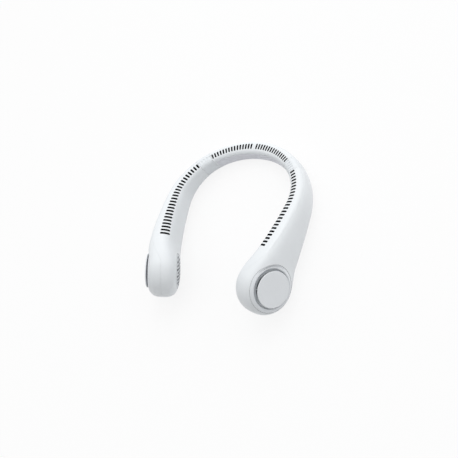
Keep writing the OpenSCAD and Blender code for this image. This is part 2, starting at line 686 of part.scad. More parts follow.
// Forward curved blade: a strip between the two radii that turns ahead as it goes out
function blade_edge(turn) = [for (k = [0 : blade_points]) let (share = k / blade_points,
    r = blade_in_r + share * (impeller_r - rim_wall / 2 - blade_in_r), a = turn - blade_lead * share * share)
    r * [cos(a), sin(a)]];
module blade() {
    half_turn = arc_turn(blade_wide / 2, impeller_r);
    edge = blade_edge(-half_turn);
    polygon(concat(blade_edge(half_turn), [for (k = [blade_points : -1 : 0]) edge[k]]));
}
module impeller() {
    color([0.88, 0.89, 0.91]) on_head() {
        difference() {
            union() {
                disc(rotor_r + fit_gap / 3 + rim_wall, rotor_low, rotor_low + rotor_high);
                disc(blade_in_r + over, -plate_thick, 0);
            }
            disc(rotor_r + fit_gap / 3, rotor_low - over, rotor_low + rotor_high + over);
        }
        for (z = [impeller_low, impeller_top - rim_wall])
            washer(impeller_r, impeller_r - 2 * rim_wall, z, z + rim_wall);
        for (k = [0 : blades - 1]) rotate([0, 0, k * 360 / blades])
            at_height(impeller_low) linear_extrude(blade_long) blade();
    }
}

// Intake: domed ring, basket with spokes, and the flat cap on its posts
cap_top = head_thick / 2 + cap_proud;
cap_low = cap_top - cap_thick;
ring_wall = 1.2;
basket_hub_r = 7;
post_r = 1.6;
post_at = 4;
dome_steps = 4;
module intake_ring() {
    out_r = ring_r - fit_gap / 2;
    color([0.90, 0.92, 0.94]) on_head() {
        rotate_extrude() polygon(concat(
            [for (k = [0 : dome_steps])
                let (r = intake_r + (out_r - intake_r) * k / dome_steps) [r, dome(r, 0)]],
            [[out_r, dome(out_r, 0) - ring_wall], [intake_r + ring_wall, dome(intake_r, 0) - 2 * ring_wall],
            [intake_r + ring_wall, basket_low], [intake_r, basket_low]]));
        difference() {
            disc(basket_hub_r, basket_low, basket_low + ring_wall);
            disc(post_at - post_r, basket_low - over, basket_low + ring_wall + over);
        }
        for (a = [0 : 60 : 300]) rotate([0, 0, a])
            translate([basket_hub_r - over, -ring_wall / 2, basket_low])
            cube([intake_r + ring_wall / 2 - basket_hub_r + over, ring_wall, ring_wall]);
    }
}
cap_edge = 0.35;
module intake_cap() {
    color([0.86, 0.88, 0.91]) on_head() {
        rotate_extrude() polygon([[0, cap_low], [cap_r - cap_edge, cap_low], [cap_r, cap_low + cap_edge],
            [cap_r, cap_top - cap_edge], [cap_r - cap_edge, cap_top], [0, cap_top]]);
        for (a = [30, 150, 270]) rotate([0, 0, a]) translate([post_at + post_r / 2, 0, 0])
            disc(post_r, basket_low + ring_wall, cap_low + cap_edge);
    }
}
grille_thick = 1.6;
module inner_grille() {
    face = -dome(grille_r, 0);
    rows = floor(grille_r / grille_pitch);
    row_share = sin(60);
    color([0.84, 0.86, 0.89]) on_head() at_height(face) linear_extrude(grille_thick) difference() {
        circle(r = grille_r);
        for (i = [-rows - 1 : rows + 1], j = [-rows - 1 : rows + 1]) {
            p = grille_pitch * [j + (i % 2) / 2, i * row_share];
            if (norm(p) < grille_r - grille_hole_d) translate(p) circle(d = grille_hole_d, $fn = 16);
        }
    }
}

// Controls in the right arm, on the side towards the neck
board_high = 13;
board_out = -5;
board_rise = 11.1;
board_up = board_rise - half_high(board_at);
board_boss_r = 1.8;
screw_grip = 1;
screw_head_high = 1;
button_rise = 4.6;
button_up = board_up + button_rise;
button_x = -3;
light_x = 4;
light_rise = 2.6;
light_up = board_up + light_rise;
light_pitch = 2.6;
lights = 4;
switch_size = 4.5;
switch_high = 2;
button_flange = 0.8;
button_face = half_thick(board_at) * oval(button_up / half_high(board_at)) + button_proud;
board_face = board_out - board_thick / 2;
module on_board() {
    on_line(board_at) children();
}
module main_board() {
    color([0.12, 0.42, 0.25]) on_board() difference() {
        translate([-board_long / 2, board_up - board_high / 2, board_face])
            cube([board_long, board_high, board_thick]);
        board_screw_places() disc(screw_r + fit_gap, board_face - over, board_face + board_thick + over);
    }
}
module board_screw_places() {
    across = board_long / 2 - screw_head_r;
    along_board = board_high / 2 - board_boss_r;
    for (way = [-1, 1]) translate([way * across, board_up + way * along_board, 0]) children();
}
module board_screws() {
    color([0.55, 0.56, 0.58]) on_board() board_screw_places() {
        disc(screw_r, board_face - screw_grip, board_face + board_thick);
        disc(screw_head_r, board_face + board_thick, board_face + board_thick + screw_head_high);
    }
}
module tact_switch() {
    color([0.15, 0.15, 0.17]) on_board() translate([button_x, button_up, 0]) {
        translate([-switch_size / 2, -switch_size / 2, board_face - switch_high])
            cube([switch_size, switch_size, switch_high]);
        disc(switch_size / 4, board_face - switch_high - over / 2, board_face - switch_high);
    }
}
button_back = board_face - switch_high - over / 2 - button_travel - fit_gap;
flange_front = -button_face + button_proud + 2 * wall + 2 * slide_gap;
module power_button() {
    color([0.80, 0.82, 0.85]) on_board() translate([button_x, button_up, 0]) {
        disc(button_d / 2, -button_face, button_back);
        disc(button_d / 2 + button_flange, flange_front, button_back);
    }
}
module indicator_lights() {
    color([0.60, 0.80, 0.95]) on_board() {
        for (k = [0 : lights - 1]) translate([light_x, light_up + (k - (lights - 1) / 2) * light_pitch, 0])
            disc(light_d / 2, -button_face + button_proud, board_face);
        translate([light_x - light_d / 2, light_up - lights / 2 * light_pitch, board_face - light_d])
            cube([light_d, lights * light_pitch, light_d]);
    }
}
socket_up = -half_high(board_at) + slide_gap;
socket_out = board_out + board_thick / 2 + socket_high / 2;
module socket_form(grow) {
    long = socket_wide - socket_high;
    hull() {
        for (x = [-long / 2, long / 2]) translate([x, 0, 0]) rotate([-90, 0, 0])
            cylinder(h = socket_deep, r = socket_high / 2 + grow, $fn = 24);
    }
}
socket_shell = 0.4;
tongue_high = 0.7;
module usb_socket() {
    color([0.70, 0.71, 0.73]) on_board() translate([0, socket_up, socket_out]) {
        difference() {
            socket_form(0);
            translate([0, -over, 0]) socket_form(-socket_shell);
        }
        translate([-socket_wide / 3, socket_deep / 3, -tongue_high / 2])
            cube([socket_wide * 2 / 3, socket_deep * 2 / 3 - socket_shell / 2, tongue_high]);
    }
}
cut_deep = 2 * wall + 3 * over;
module control_cuts() {
    on_board() {
        translate([button_x, button_up, 0])
            at_height(-button_face - over) cylinder(h = cut_deep, r = button_d / 2 + slide_gap, $fn = 24);
        for (k = [0 : lights - 1]) translate([light_x, light_up + (k - (lights - 1) / 2) * light_pitch, 0])
            at_height(-button_face - over) cylinder(h = cut_deep, r = light_d / 2 + fit_gap, $fn = 10);
        translate([0, socket_up - over, socket_out]) socket_form(fit_gap);
        board_screw_places() at_height(board_face - 2 * screw_grip)
            cylinder(h = 2 * screw_grip + over, r = screw_r + fit_gap / 3, $fn = 12);
    }
}

// One sided piece by name, made for the right and mirrored for the left
module sided(name, right) {
    mirror([right ? 0 : 1, 0, 0]) {
        if (name == "arm_cover") arm_cover();
        if (name == "arm_casing") arm_casing(right);
        if (name == "flex_sleeve") flex_sleeve();
        if (name == "spring_strip") spring_strip();
        if (name == "flex_cable") flex_cable();
        if (name == "arm_cable") arm_cable();
        if (name == "duct_floor") duct_floor();
        if (name == "battery_cell") battery_cell();
        if (name == "intake_ring") intake_ring();
        if (name == "intake_cap") intake_cap();
        if (name == "inner_grille") inner_grille();
        if (name == "blower_scroll") blower_scroll();
        if (name == "motor_base") motor_base();
        if (name == "motor_stator") motor_stator();
        if (name == "motor_screws") motor_screws();
        if (name == "shaft_bearings") shaft_bearings();
        if (name == "motor_shaft") motor_shaft();
        if (name == "rotor_cup") rotor_cup();
        if (name == "rotor_magnet") rotor_magnet();
        if (name == "impeller") impeller();
    }
}

neck_cover();
neck_casing();
neck_pad();
neck_cable();
main_board();
board_screws();
tact_switch();
power_button();
indicator_lights();
usb_socket();
for (name = SIDED) {
    sided(name, false);
    sided(name, true);
}
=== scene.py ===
from functools import lru_cache
from math import acos, asin, atan, atan2, cos, degrees, floor, fmod, hypot, pi, radians, sin, sqrt

import bmesh
import bpy
import numpy as np
from mathutils import Matrix, Vector


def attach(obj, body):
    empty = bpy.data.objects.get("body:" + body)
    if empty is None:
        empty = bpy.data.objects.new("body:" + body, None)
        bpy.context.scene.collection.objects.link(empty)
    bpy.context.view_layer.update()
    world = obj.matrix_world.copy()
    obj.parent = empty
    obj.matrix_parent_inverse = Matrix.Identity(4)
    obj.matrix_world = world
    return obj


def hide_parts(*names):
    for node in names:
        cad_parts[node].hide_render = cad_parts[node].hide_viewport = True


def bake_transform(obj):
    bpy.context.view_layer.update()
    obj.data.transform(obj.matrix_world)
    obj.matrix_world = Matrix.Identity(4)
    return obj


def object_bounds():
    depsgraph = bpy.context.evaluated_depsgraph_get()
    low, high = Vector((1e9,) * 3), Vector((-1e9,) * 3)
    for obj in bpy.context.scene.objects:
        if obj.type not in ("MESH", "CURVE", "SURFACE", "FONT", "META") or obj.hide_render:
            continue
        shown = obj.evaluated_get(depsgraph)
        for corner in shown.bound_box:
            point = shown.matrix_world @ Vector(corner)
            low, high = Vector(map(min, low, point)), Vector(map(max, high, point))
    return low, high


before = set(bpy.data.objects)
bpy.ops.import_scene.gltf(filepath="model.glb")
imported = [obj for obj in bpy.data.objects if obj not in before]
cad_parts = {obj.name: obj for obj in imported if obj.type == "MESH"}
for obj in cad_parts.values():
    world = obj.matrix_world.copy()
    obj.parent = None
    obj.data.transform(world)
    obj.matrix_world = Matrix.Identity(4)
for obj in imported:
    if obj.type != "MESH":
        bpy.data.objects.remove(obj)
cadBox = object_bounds()
print("frame loaded:", len(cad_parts), "nodes")

# Camera: where the photograph was taken from, worked out from the shape's outline
camera = {"azimuth": 60.1641, "elevation": 55.4828, "roll": -49.1578, "distance": 0.77199,
          "focal": 687.70, "across": 11.6659, "down": -2.8997, "aim": (0.0, 0.00094, 0.0), "image": 458,
          "sensor": 36, "clip": (0.01, 20)}


def makeCamera():
    a, e, roll = (radians(camera[k]) for k in ("azimuth", "elevation", "roll"))
    back = Vector((sin(a) * cos(e), -cos(a) * cos(e), sin(e)))
    place = Vector(camera["aim"]) + back * camera["distance"]
    right = (-back).cross(Vector((0, 0, 1))).normalized()
    up = right.cross(-back)
    right, up = right * cos(roll) + up * sin(roll), up * cos(roll) - right * sin(roll)
    view = (-back * camera["focal"] - right * camera["across"] + up * camera["down"]).normalized()
    right = (right - view * right.dot(view)).normalized()
    up = right.cross(view)
    data = bpy.data.cameras.new("camera")
    data.sensor_width = camera["sensor"]
    data.lens = camera["focal"] / camera["image"] * data.sensor_width
    data.clip_start, data.clip_end = camera["clip"]
    shot = bpy.data.objects.new("camera", data)
    bpy.context.scene.collection.objects.link(shot)
    turn = Matrix((right, up, -view)).transposed()
    shot.matrix_world = Matrix.Translation(place) @ turn.to_4x4()
    bpy.context.scene.camera = shot


makeCamera()
print("camera set")

# The band: sizes in mm and degrees, one value at each of the four stations of its section
band = {"arcs": ((78.8, 59.0), (69.5, 59.5), (383.0, 88.0)), "stations": (0.0, 72.5, 174.5, 206.5),
        "thick": (17.2, 17.0, 27.6, 35.6), "high": (19.2, 25.0, 49.4, 58.0), "middle": (9.6, 16.2),
        "lean": (0.0, -4.6, -12.3, -25.5), "seam": (52.0, 50.0, 22.0, 0.0), "power": 3.06,
        "slotOuter": (0.45, 0.16, -0.05, -0.05), "slotInner": (-0.35, -0.54, -0.79, -0.79),
        "wall": 1.6, "gap": 0.08, "flexFrom": 53.3, "flexTo": 70.4, "headAt": 206.5, "headRadius": 29.0,
        "shoulderRise": 0.85}
perMetre = 1000


def headReach(across, axial):
    power = band["power"] / (band["power"] - 1)
    wide, deep = band["headRadius"] * abs(across), band["thick"][3] / 2 * abs(axial)
    return (wide ** power + deep ** power) ** (1 / power)


def arcsAt(s):
    # place and heading on the centre line before it is moved to the middle of the table
    x, y, turn, left = 0.0, 0.0, 0.0, abs(s)
    for radius, run in band["arcs"]:
        after = turn + min(left, run) / radius
        x += radius * (sin(after) - sin(turn))
        y += radius * (cos(after) - cos(turn))
        turn, left = after, max(0.0, left - run)
    side = -1 if s < 0 else 1
    return side * (x + left * cos(turn)), y - left * sin(turn), side * turn


headLean = radians(band["lean"][3])
headTurn = arcsAt(band["headAt"])[2]
headZ = headReach(cos(headLean), sin(headLean))
headFront = headReach(hypot(sin(headTurn), cos(headTurn) * sin(headLean)), cos(headTurn) * cos(headLean))
bandY = -(band["thick"][0] / 2 + arcsAt(band["headAt"])[1] - headFront) / 2
band["middle"] += (headZ + band["shoulderRise"], headZ)


def through(values, stations, s):
    # smooth curve through one value at each station, level at both ends
    s = min(max(s, stations[0]), stations[-1])
    i = max(k for k in range(len(stations) - 1) if s >= stations[k])
    reach = stations[i + 1] - stations[i]
    u = (s - stations[i]) / reach
    w = 1 - u

    def slope(k):
        if k in (0, len(stations) - 1):
            return 0.0
        return (values[k + 1] - values[k - 1]) / (stations[k + 1] - stations[k - 1])
    return (w * w * (1 + 2 * u) * values[i] + u * u * (1 + 2 * w) * values[i + 1]
            + u * w * reach * (w * slope(i) - u * slope(i + 1)))


def along(name, s):
    return through(band[name], band["stations"], abs(s))


@lru_cache(maxsize=None)
def station(s):
    # all that a point of the section needs at a distance along the line
    x, y, turn = arcsAt(s)
    return {"x": x, "y": y + bandY, "turn": turn, "thick": along("thick", s) / 2, "high": along("high", s) / 2,
            "z": along("middle", s), "lean": radians(along("lean", s)), "seam": along("seam", s)}


def place(s, out, up):
    at = station(s)
    side = out * cos(at["lean"]) + up * sin(at["lean"])
    return Vector((at["x"] + side * sin(at["turn"]), at["y"] + side * cos(at["turn"]),
                   at["z"] - out * sin(at["lean"]) + up * cos(at["lean"])))


def signed(x):
    return (-1 if x < 0 else 1) * abs(x) ** (2 / band["power"])


def oval(x):
    return (1 - min(1.0, abs(x)) ** band["power"]) ** (1 / band["power"])


def shareAngle(x):
    # angle from the top at which the skin stands out by this share of the half thickness
    return degrees(asin((-1 if x < 0 else 1) * min(1.0, abs(x)) ** (band["power"] / 2)))


def skinPoint(s, a, inset=0.0):
    at = station(s)
    return place(s, (at["thick"] - inset) * signed(sin(radians(a))), (at["high"] - inset) * signed(cos(radians(a))))


def headPoint(round, a, inset=0.0):
    # in front of the head's middle: the angle round its axis from the band, and the section's angle
    r = (band["headRadius"] - inset) * abs(cos(radians(a))) ** (2 / band["power"])
    out = (band["thick"][3] / 2 - inset) * signed(sin(radians(a)))
    ahead = r * cos(radians(round))
    return place(band["headAt"] + ahead, out, r * sin(radians(round)))


def domeAt(r):
    return band["thick"][3] / 2 * oval(r / band["headRadius"])


def lineFrame(s):
    # turned pieces stand on an axis across the band
    turned = Matrix.Identity(4)
    turned.col[0][:3] = (-cos(station(s)["turn"]), sin(station(s)["turn"]), 0)
    turned.col[1][:3] = place(s, 0, 1) - place(s, 0, 0)
    turned.col[2][:3] = place(s, 1, 0) - place(s, 0, 0)
    turned.col[3][:3] = place(s, 0, 0)
    return turned


headFrame = lineFrame(band["headAt"])
fromHead = headFrame.inverted()
solve = {"skinRounds": 8, "quarterSteps": 30}


def skinOver(r, turn, outer):
    # the skin's point at this radius and turn round the head's axis, as a distance and a section angle
    s, up = band["headAt"] + r * cos(turn), r * sin(turn)
    for k in range(solve["skinRounds"]):
        share = min(1.0, abs(up) / station(s)["high"])
        a = degrees(acos((-1 if up < 0 else 1) * share ** (band["power"] / 2)))
        a = a if outer else 360 - a
        at = fromHead @ skinPoint(s, a)
        s, up = s + at.x + r * cos(turn), up - at.y + r * sin(turn)
    return s, a


def headRise(r, turn, outer):
    # how far the skin stands from the head's middle plane
    return abs((fromHead @ skinPoint(*skinOver(r, turn, outer))).z) if cos(turn) < 0 else domeAt(r)


@lru_cache(maxsize=None)
def quadrant(s):
    # angles and lengths over a quarter of the section, closely spaced where it runs straight
    at = station(s)
    corner = 0.5 ** (1 / band["power"])
    steps = solve["quarterSteps"]
    shares = [corner * (k / steps) ** 2 for k in range(steps + 1)]
    angles = [degrees(asin(x ** (band["power"] / 2))) for x in shares]
    angles += [degrees(acos(x ** (band["power"] / 2))) for x in reversed(shares[:-1])]
    points = [(at["thick"] * abs(signed(sin(radians(a)))), at["high"] * abs(signed(cos(radians(a)))))
              for a in angles]
    lengths = [0.0]
    for p, q in zip(points, points[1:]):
        lengths.append(lengths[-1] + hypot(q[0] - p[0], q[1] - p[1]))
    return angles, lengths


def lengthAt(s, a):
    angles, lengths = quadrant(s)
    turns = floor(a / 90)
    rest = a - 90 * turns
    part = np.interp(rest, angles, lengths) if turns % 2 == 0 else lengths[-1] - np.interp(90 - rest, angles, lengths)
    return turns * lengths[-1] + float(part)


def angleAt(s, length):
    angles, lengths = quadrant(s)
    turns = floor(length / lengths[-1])
    rest = length - turns * lengths[-1]
    part = np.interp(rest, lengths, angles) if turns % 2 == 0 else 90 - np.interp(lengths[-1] - rest, lengths, angles)
    return turns * 90 + float(part)


def evenAngles(s, marks, counts):
    # rows between marked angles, evenly spaced along the skin in each stretch
    rows = [marks[0]]
    for first, last, count in zip(marks, marks[1:], counts):
        low, high = lengthAt(s, first), lengthAt(s, last)
        rows += [angleAt(s, low + (high - low) * k / count) for k in range(1, count)] + [last]
    return rows


def moved(s, a, way):
    # an edge of the parting line, half the gap to one side
    return angleAt(s, lengthAt(s, a) + way * band["gap"] / 2)


def spaced(first, last, count):
    return [first + (last - first) * k / count for k in range(count + 1)]


# Meshes start as grids whose corners are moved onto the skin
def grid(shape, columns, rows, pointAt):
    made = bmesh.ops.create_grid(shape, x_segments=columns - 1, y_segments=rows - 1, size=1)["verts"]
    inGrid = set(made)
    cells = {}
    for face in shape.faces:
        if face.verts[0] in inGrid:
            middle = face.calc_center_median()
            cells[int((middle.x + 1) / 2 * (columns - 1)), int((middle.y + 1) / 2 * (rows - 1))] = face
    for vert in made:
        vert.co = pointAt(round((vert.co.x + 1) / 2 * (columns - 1)), round((vert.co.y + 1) / 2 * (rows - 1)))
    return cells


def faceOut(shape, s, out):
    # an open shell faces away from the centre line
    target = place(s, out * station(s)["thick"], 0)
    nearest = min(shape.faces, key=lambda face: (face.calc_center_median() - target).length)
    nearest.normal_update()
    if nearest.normal.dot(target - place(s, 0, 0)) < 0:
        bmesh.ops.reverse_faces(shape, faces=shape.faces)


def closeUp(shape, apart=0.002):
    bmesh.ops.remove_doubles(shape, verts=shape.verts, dist=apart)
    bmesh.ops.recalc_face_normals(shape, faces=shape.faces)


def finish(shape, name, body, stands, paints, mirrored=False):
    # to metres, mirrored for the left arm, then into an object at the origin that rides on its body
    if mirrored:
        bmesh.ops.scale(shape, vec=(-1, 1, 1), verts=shape.verts)
        bmesh.ops.reverse_faces(shape, faces=shape.faces)
    bmesh.ops.scale(shape, vec=Vector((1, 1, 1)) / perMetre, verts=shape.verts)
    for face in shape.faces:
        face.smooth = True
    mesh = bpy.data.meshes.new(name)
    shape.to_mesh(mesh)
    shape.free()
    piece = bpy.data.objects.new(name, mesh)
    bpy.context.scene.collection.objects.link(piece)
    for paint in paints:
        mesh.materials.append(paint)
    if body:
        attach(piece, body)
    if stands:
        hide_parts(stands)
    return piece


def sided(shape, name, stands, paints, mirrored, body="arm_"):
    # a piece for one side, whose name, body and node all end in that side
    end = "left" if mirrored else "right"
    return finish(shape, name + "." + end, body and body + end, stands + "_" + end, paints, mirrored)


def thicken(piece, wall, edge, inside=0, rim=0, even=True):
    solid = piece.modifiers.new("wall", "SOLIDIFY")
    solid.thickness, solid.offset, solid.use_even_offset = wall / perMetre, -1, even
    solid.use_quality_normals = True
    solid.material_offset, solid.material_offset_rim = inside, rim
    soften(piece, edge)


def evenNormals(piece, weight=50):
    weigh = piece.modifiers.new("normals", "WEIGHTED_NORMAL")
    weigh.keep_sharp, weigh.weight = False, weight


def soften(piece, edge, segments=2, angle=45):
    bevel = piece.modifiers.new("edges", "BEVEL")
    bevel.width, bevel.segments, bevel.profile = edge / perMetre, segments, 0.5
    bevel.limit_method, bevel.angle_limit = "ANGLE", radians(angle)
    bevel.use_clamp_overlap = True
    evenNormals(piece, 80)


def settle(piece):
    # the modifiers' result becomes the mesh
    graph = bpy.context.evaluated_depsgraph_get()
    mesh = bpy.data.meshes.new_from_object(piece.evaluated_get(graph))
    piece.modifiers.clear()
    piece.data = mesh


def tube(shape, stops, ringAt, sides):
    # closed tube along the stops: a grid whose last row meets the first, and an end on each side
    rings = [ringAt(stop) for stop in stops]
    grid(shape, len(stops), sides + 1, lambda j, i: rings[j][i % sides])
    bmesh.ops.remove_doubles(shape, verts=shape.verts, dist=0.0005)
    bmesh.ops.holes_fill(shape, edges=shape.edges, sides=sides)
    bmesh.ops.recalc_face_normals(shape, faces=shape.faces)


def join(shape, other):
    # another bmesh added to this one
    carrier = bpy.data.meshes.new("carrier")
    other.to_mesh(carrier)
    other.free()
    shape.from_mesh(carrier)
    bpy.data.meshes.remove(carrier)


def stand(shape, matrix):
    bmesh.ops.transform(shape, matrix=matrix, verts=shape.verts)


def pullOut(shape, faces):
    # the faces extruded in place: the corners of their copy
    made = bmesh.ops.extrude_face_region(shape, geom=faces)["geom"]
    return [item for item in made if isinstance(item, bmesh.types.BMVert)]


# Materials: a socket that knows arithmetic, and a sheet of nodes
class Shade:
    def __init__(self, paint, socket):
        self.paint, self.socket = paint, socket

    def __add__(self, other):
        return self.paint.maths("ADD", self, other)

    def __radd__(self, other):
        return self.paint.maths("ADD", other, self)

    def __mul__(self, other):
        return self.paint.maths("MULTIPLY", self, other)

    def __rmul__(self, other):
        return self.paint.maths("MULTIPLY", other, self)


class Paint:
    def __init__(self, name, library="materials", point="Object"):
        self.owner = getattr(bpy.data, library).new(name)
        self.owner.use_nodes = True
        self.tree = self.owner.node_tree
        self.tree.nodes.clear()
        self.point = self.node("ShaderNodeTexCoord", out=point)

    def node(self, kind, settings=None, inputs=None, out=0):
        made = self.tree.nodes.new(kind)
        for name, value in (settings or {}).items():
            setattr(made, name, value)
        for name, value in (inputs or {}).items():
            if isinstance(value, Shade):
                self.tree.links.new(value.socket, made.inputs[name])
            else:
                made.inputs[name].default_value = value
        return None if out is None else Shade(self, made.outputs[out])

    def maths(self, operation, a, b=0.0):
        return self.node("ShaderNodeMath", {"operation": operation}, {0: a, 1: b})

    def ray(self, kind):
        return self.node("ShaderNodeLightPath", out="Is " + kind + " Ray")

    def noise(self, scale, detail=3.0, rough=0.5, point=None):
        return self.node("ShaderNodeTexNoise", None, {"Vector": point or self.point, "Scale": scale,
                                                     "Detail": detail, "Roughness": rough})

    def blend(self, share, first, second):
        return self.node("ShaderNodeMix", {"data_type": "RGBA"}, {0: share, 6: (*first, 1), 7: (*second, 1)}, out=2)

    def bump(self, height, strength, depth):
        return self.node("ShaderNodeBump", None, {"Height": height, "Strength": strength, "Distance": depth})

    def surface(self, **inputs):
        shader = self.node("ShaderNodeBsdfPrincipled", None, {name.replace("_", " "): value
                                                             for name, value in inputs.items()}, out="BSDF")
        self.node("ShaderNodeOutputMaterial", None, {"Surface": shader}, out=None)
        return self.owner


def moulded(name, colour, deeper, rough=0.38, spread=0.08, grain=0.35, coat=0.0, shine=0.5):
    # moulded plastic: a fine spark-eroded grain, slow changes of tone, gloss that varies a little
    paint = Paint(name)
    tone = paint.noise(22.0, 2.0)
    grains = paint.noise(2600.0, 2.0, 0.6)
    swirl = paint.noise(140.0, 3.0)
    base = paint.blend(tone * 0.6 + swirl * 0.25, colour, deeper)
    return paint.surface(Base_Color=base, Roughness=rough - spread / 2 + spread * swirl + 0.04 * grains,
                         Specular_IOR_Level=shine, Coat_Weight=coat, Coat_Roughness=0.25,
                         Normal=paint.bump(grains, grain, 0.00004))


def metal(name, colour, deeper, rough, stretch, scale=900.0, scratch=0.4):
    # drawn or turned metal: streaks along one way, a few darker patches, uneven polish
    paint = Paint(name)
    drawn = paint.node("ShaderNodeMapping", None, {"Vector": paint.point, "Scale": stretch})
    streaks = paint.noise(scale, 4.0, 0.6, drawn)
    patches = paint.noise(260.0, 3.0)
    base = paint.blend(streaks * 0.5 + patches * 0.4, colour, deeper)
    return paint.surface(Base_Color=base, Metallic=1.0, Roughness=rough - 0.06 + 0.16 * patches,
                         Normal=paint.bump(streaks, scratch, 0.00002))


def wound(name, axis):
    # enamelled copper wire laid in turns along the motor's axis
    paint = Paint(name)
    height = paint.node("ShaderNodeVectorMath", {"operation": "DOT_PRODUCT"}, {0: paint.point, 1: axis}, out=1)
    turns = paint.maths("SINE", height * (2 * pi / 0.00032))
    patches = paint.noise(500.0, 3.0)
    base = paint.blend(0.5 + 0.35 * turns, (0.24, 0.07, 0.018), (0.62, 0.24, 0.07))
    return paint.surface(Base_Color=base, Metallic=0.85, Roughness=0.26 + 0.14 * patches, Coat_Weight=0.5,
                         Normal=paint.bump(turns, 0.6, 0.00012))


def circuitBoard():
    # green solder mask over copper tracks, with their edges just raised
    paint = Paint("circuitBoard")
    laid = paint.node("ShaderNodeMapping", None, {"Vector": paint.point, "Rotation": (1.3, 0.2, 0.26)})
    tracks = paint.node("ShaderNodeTexBrick", {"offset": 0.37, "squash": 0.6},
                        {"Vector": laid, "Scale": 190.0, "Mortar Size": 0.06, "Mortar Smooth": 0.4, "Bias": 0.0},
                        out=1)
    weave = paint.noise(1500.0, 2.0)
    base = paint.blend(tracks, (0.012, 0.105, 0.045), (0.03, 0.21, 0.09))
    return paint.surface(Base_Color=base, Roughness=0.28 + 0.12 * weave, Coat_Weight=0.4,
                         Normal=paint.bump(tracks + 0.2 * weave, 0.5, 0.00005))


def shrinkWrap():
    # blue film drawn tight round the cell, with a few long wrinkles
    paint = Paint("shrinkWrap")
    drawn = paint.node("ShaderNodeMapping", None, {"Vector": paint.point, "Scale": (1.0, 1.0, 0.18)})
    wrinkles = paint.noise(420.0, 3.0, 0.45, drawn)
    tone = paint.noise(60.0, 2.0)
    base = paint.blend(tone, (0.035, 0.13, 0.34), (0.025, 0.10, 0.28))
    return paint.surface(Base_Color=base, Roughness=0.2 + 0.14 * wrinkles, Coat_Weight=0.35,
                         Normal=paint.bump(wrinkles, 0.35, 0.0002))


def lightPipe():
    # milky clear plastic that looks faintly blue
    paint = Paint("lightPipe")
    cloud = paint.noise(700.0, 2.0)
    base = paint.blend(cloud, (0.72, 0.86, 0.95), (0.60, 0.78, 0.92))
    return paint.surface(Base_Color=base, Roughness=0.16 + 0.12 * cloud, Transmission_Weight=0.45, IOR=1.49)


shellWhite = moulded("shellWhite", (0.80, 0.83, 0.85), (0.76, 0.79, 0.815), coat=0.12)
# painted shade: the shells' inner walls are painted near black for the darkness inside them
shellInsidePaintedShade = moulded("shellInsidePaintedShade", (0.10, 0.105, 0.115), (0.07, 0.075, 0.08), 0.6)
# painted shade: near black for the walls of slots and holes and the thin gaps round openings
slotPaintedShade = moulded("slotPaintedShade", (0.020, 0.023, 0.026), (0.012, 0.014, 0.016), 0.75, shine=0.2)
capSatin = moulded("capSatin", (0.79, 0.815, 0.84), (0.76, 0.79, 0.815), 0.30, 0.06, 0.25, coat=0.2)
ringWhite = moulded("ringWhite", (0.78, 0.81, 0.835), (0.74, 0.77, 0.80), 0.34)
# painted shade: the grille plate is a grey darker than the shells, for the shade on the head's inner face
grilleGreyPaintedShade = moulded("grilleGreyPaintedShade", (0.68, 0.71, 0.74), (0.63, 0.66, 0.69), 0.42)
softPad = moulded("softPad", (0.79, 0.80, 0.845), (0.75, 0.76, 0.81), 0.66, 0.1, 0.8)
sleeveSilicone = moulded("sleeveSilicone", (0.78, 0.81, 0.835), (0.735, 0.77, 0.795), 0.52, 0.1, 0.5)
buttonSatin = moulded("buttonSatin", (0.62, 0.65, 0.69), (0.57, 0.60, 0.64), 0.3, coat=0.3)
innerPlastic = moulded("innerPlastic", (0.66, 0.68, 0.70), (0.58, 0.60, 0.62), 0.5, 0.12, 0.6)
# painted shade: the duct floor seen through the slots is near black for the darkness inside
ductPaintedShade = moulded("ductPaintedShade", (0.12, 0.125, 0.135), (0.09, 0.095, 0.10), 0.6, 0.12, 0.6)
motorPlastic = moulded("motorPlastic", (0.30, 0.31, 0.33), (0.24, 0.25, 0.27), 0.5, 0.12, 0.6)
darkPlastic = moulded("darkPlastic", (0.035, 0.036, 0.04), (0.022, 0.023, 0.026), 0.45)
cableJacket = moulded("cableJacket", (0.028, 0.029, 0.033), (0.018, 0.019, 0.022), 0.55, 0.14, 0.9)
magnetFerrite = moulded("magnetFerrite", (0.035, 0.034, 0.036), (0.06, 0.056, 0.055), 0.6, 0.2, 0.9)
springSteel = metal("springSteel", (0.52, 0.53, 0.56), (0.40, 0.41, 0.44), 0.28, (0.2, 0.2, 1.6))
screwSteel = metal("screwSteel", (0.46, 0.47, 0.49), (0.34, 0.35, 0.37), 0.34, (1.0, 1.0, 1.0))
shaftSteel = metal("shaftSteel", (0.62, 0.63, 0.65), (0.50, 0.51, 0.53), 0.16, (1.0, 1.0, 1.0), scratch=0.2)
socketSteel = metal("socketSteel", (0.60, 0.61, 0.63), (0.48, 0.49, 0.51), 0.25, (1.0, 1.0, 0.25))
turnedMetal = metal("turnedMetal", (0.56, 0.57, 0.60), (0.44, 0.45, 0.48), 0.24, (1.0, 1.0, 3.0))
sinteredBronze = metal("sinteredBronze", (0.52, 0.36, 0.14), (0.38, 0.25, 0.09), 0.42, (1.0, 1.0, 1.0), 2200.0, 0.7)
boardGreen = circuitBoard()
cellBlue = shrinkWrap()
clearPipe = lightPipe()
print("materials made")

# Air slots: their columns of the grid, and the rounded ends
neckSlots = {"count": 15, "from": 3.3, "to": 51.4, "width": 1.9}
armSlots = {"count": 24, "from": 72.3, "to": 170.9, "width": 2.35}
slotTurns = (-90, -60, -30, 0, 30, 60, 90)


def slotCentres(slots):
    step = (slots["to"] - slots["from"]) / (slots["count"] - 1)
    return [slots["from"] + step * k for k in range(slots["count"])]


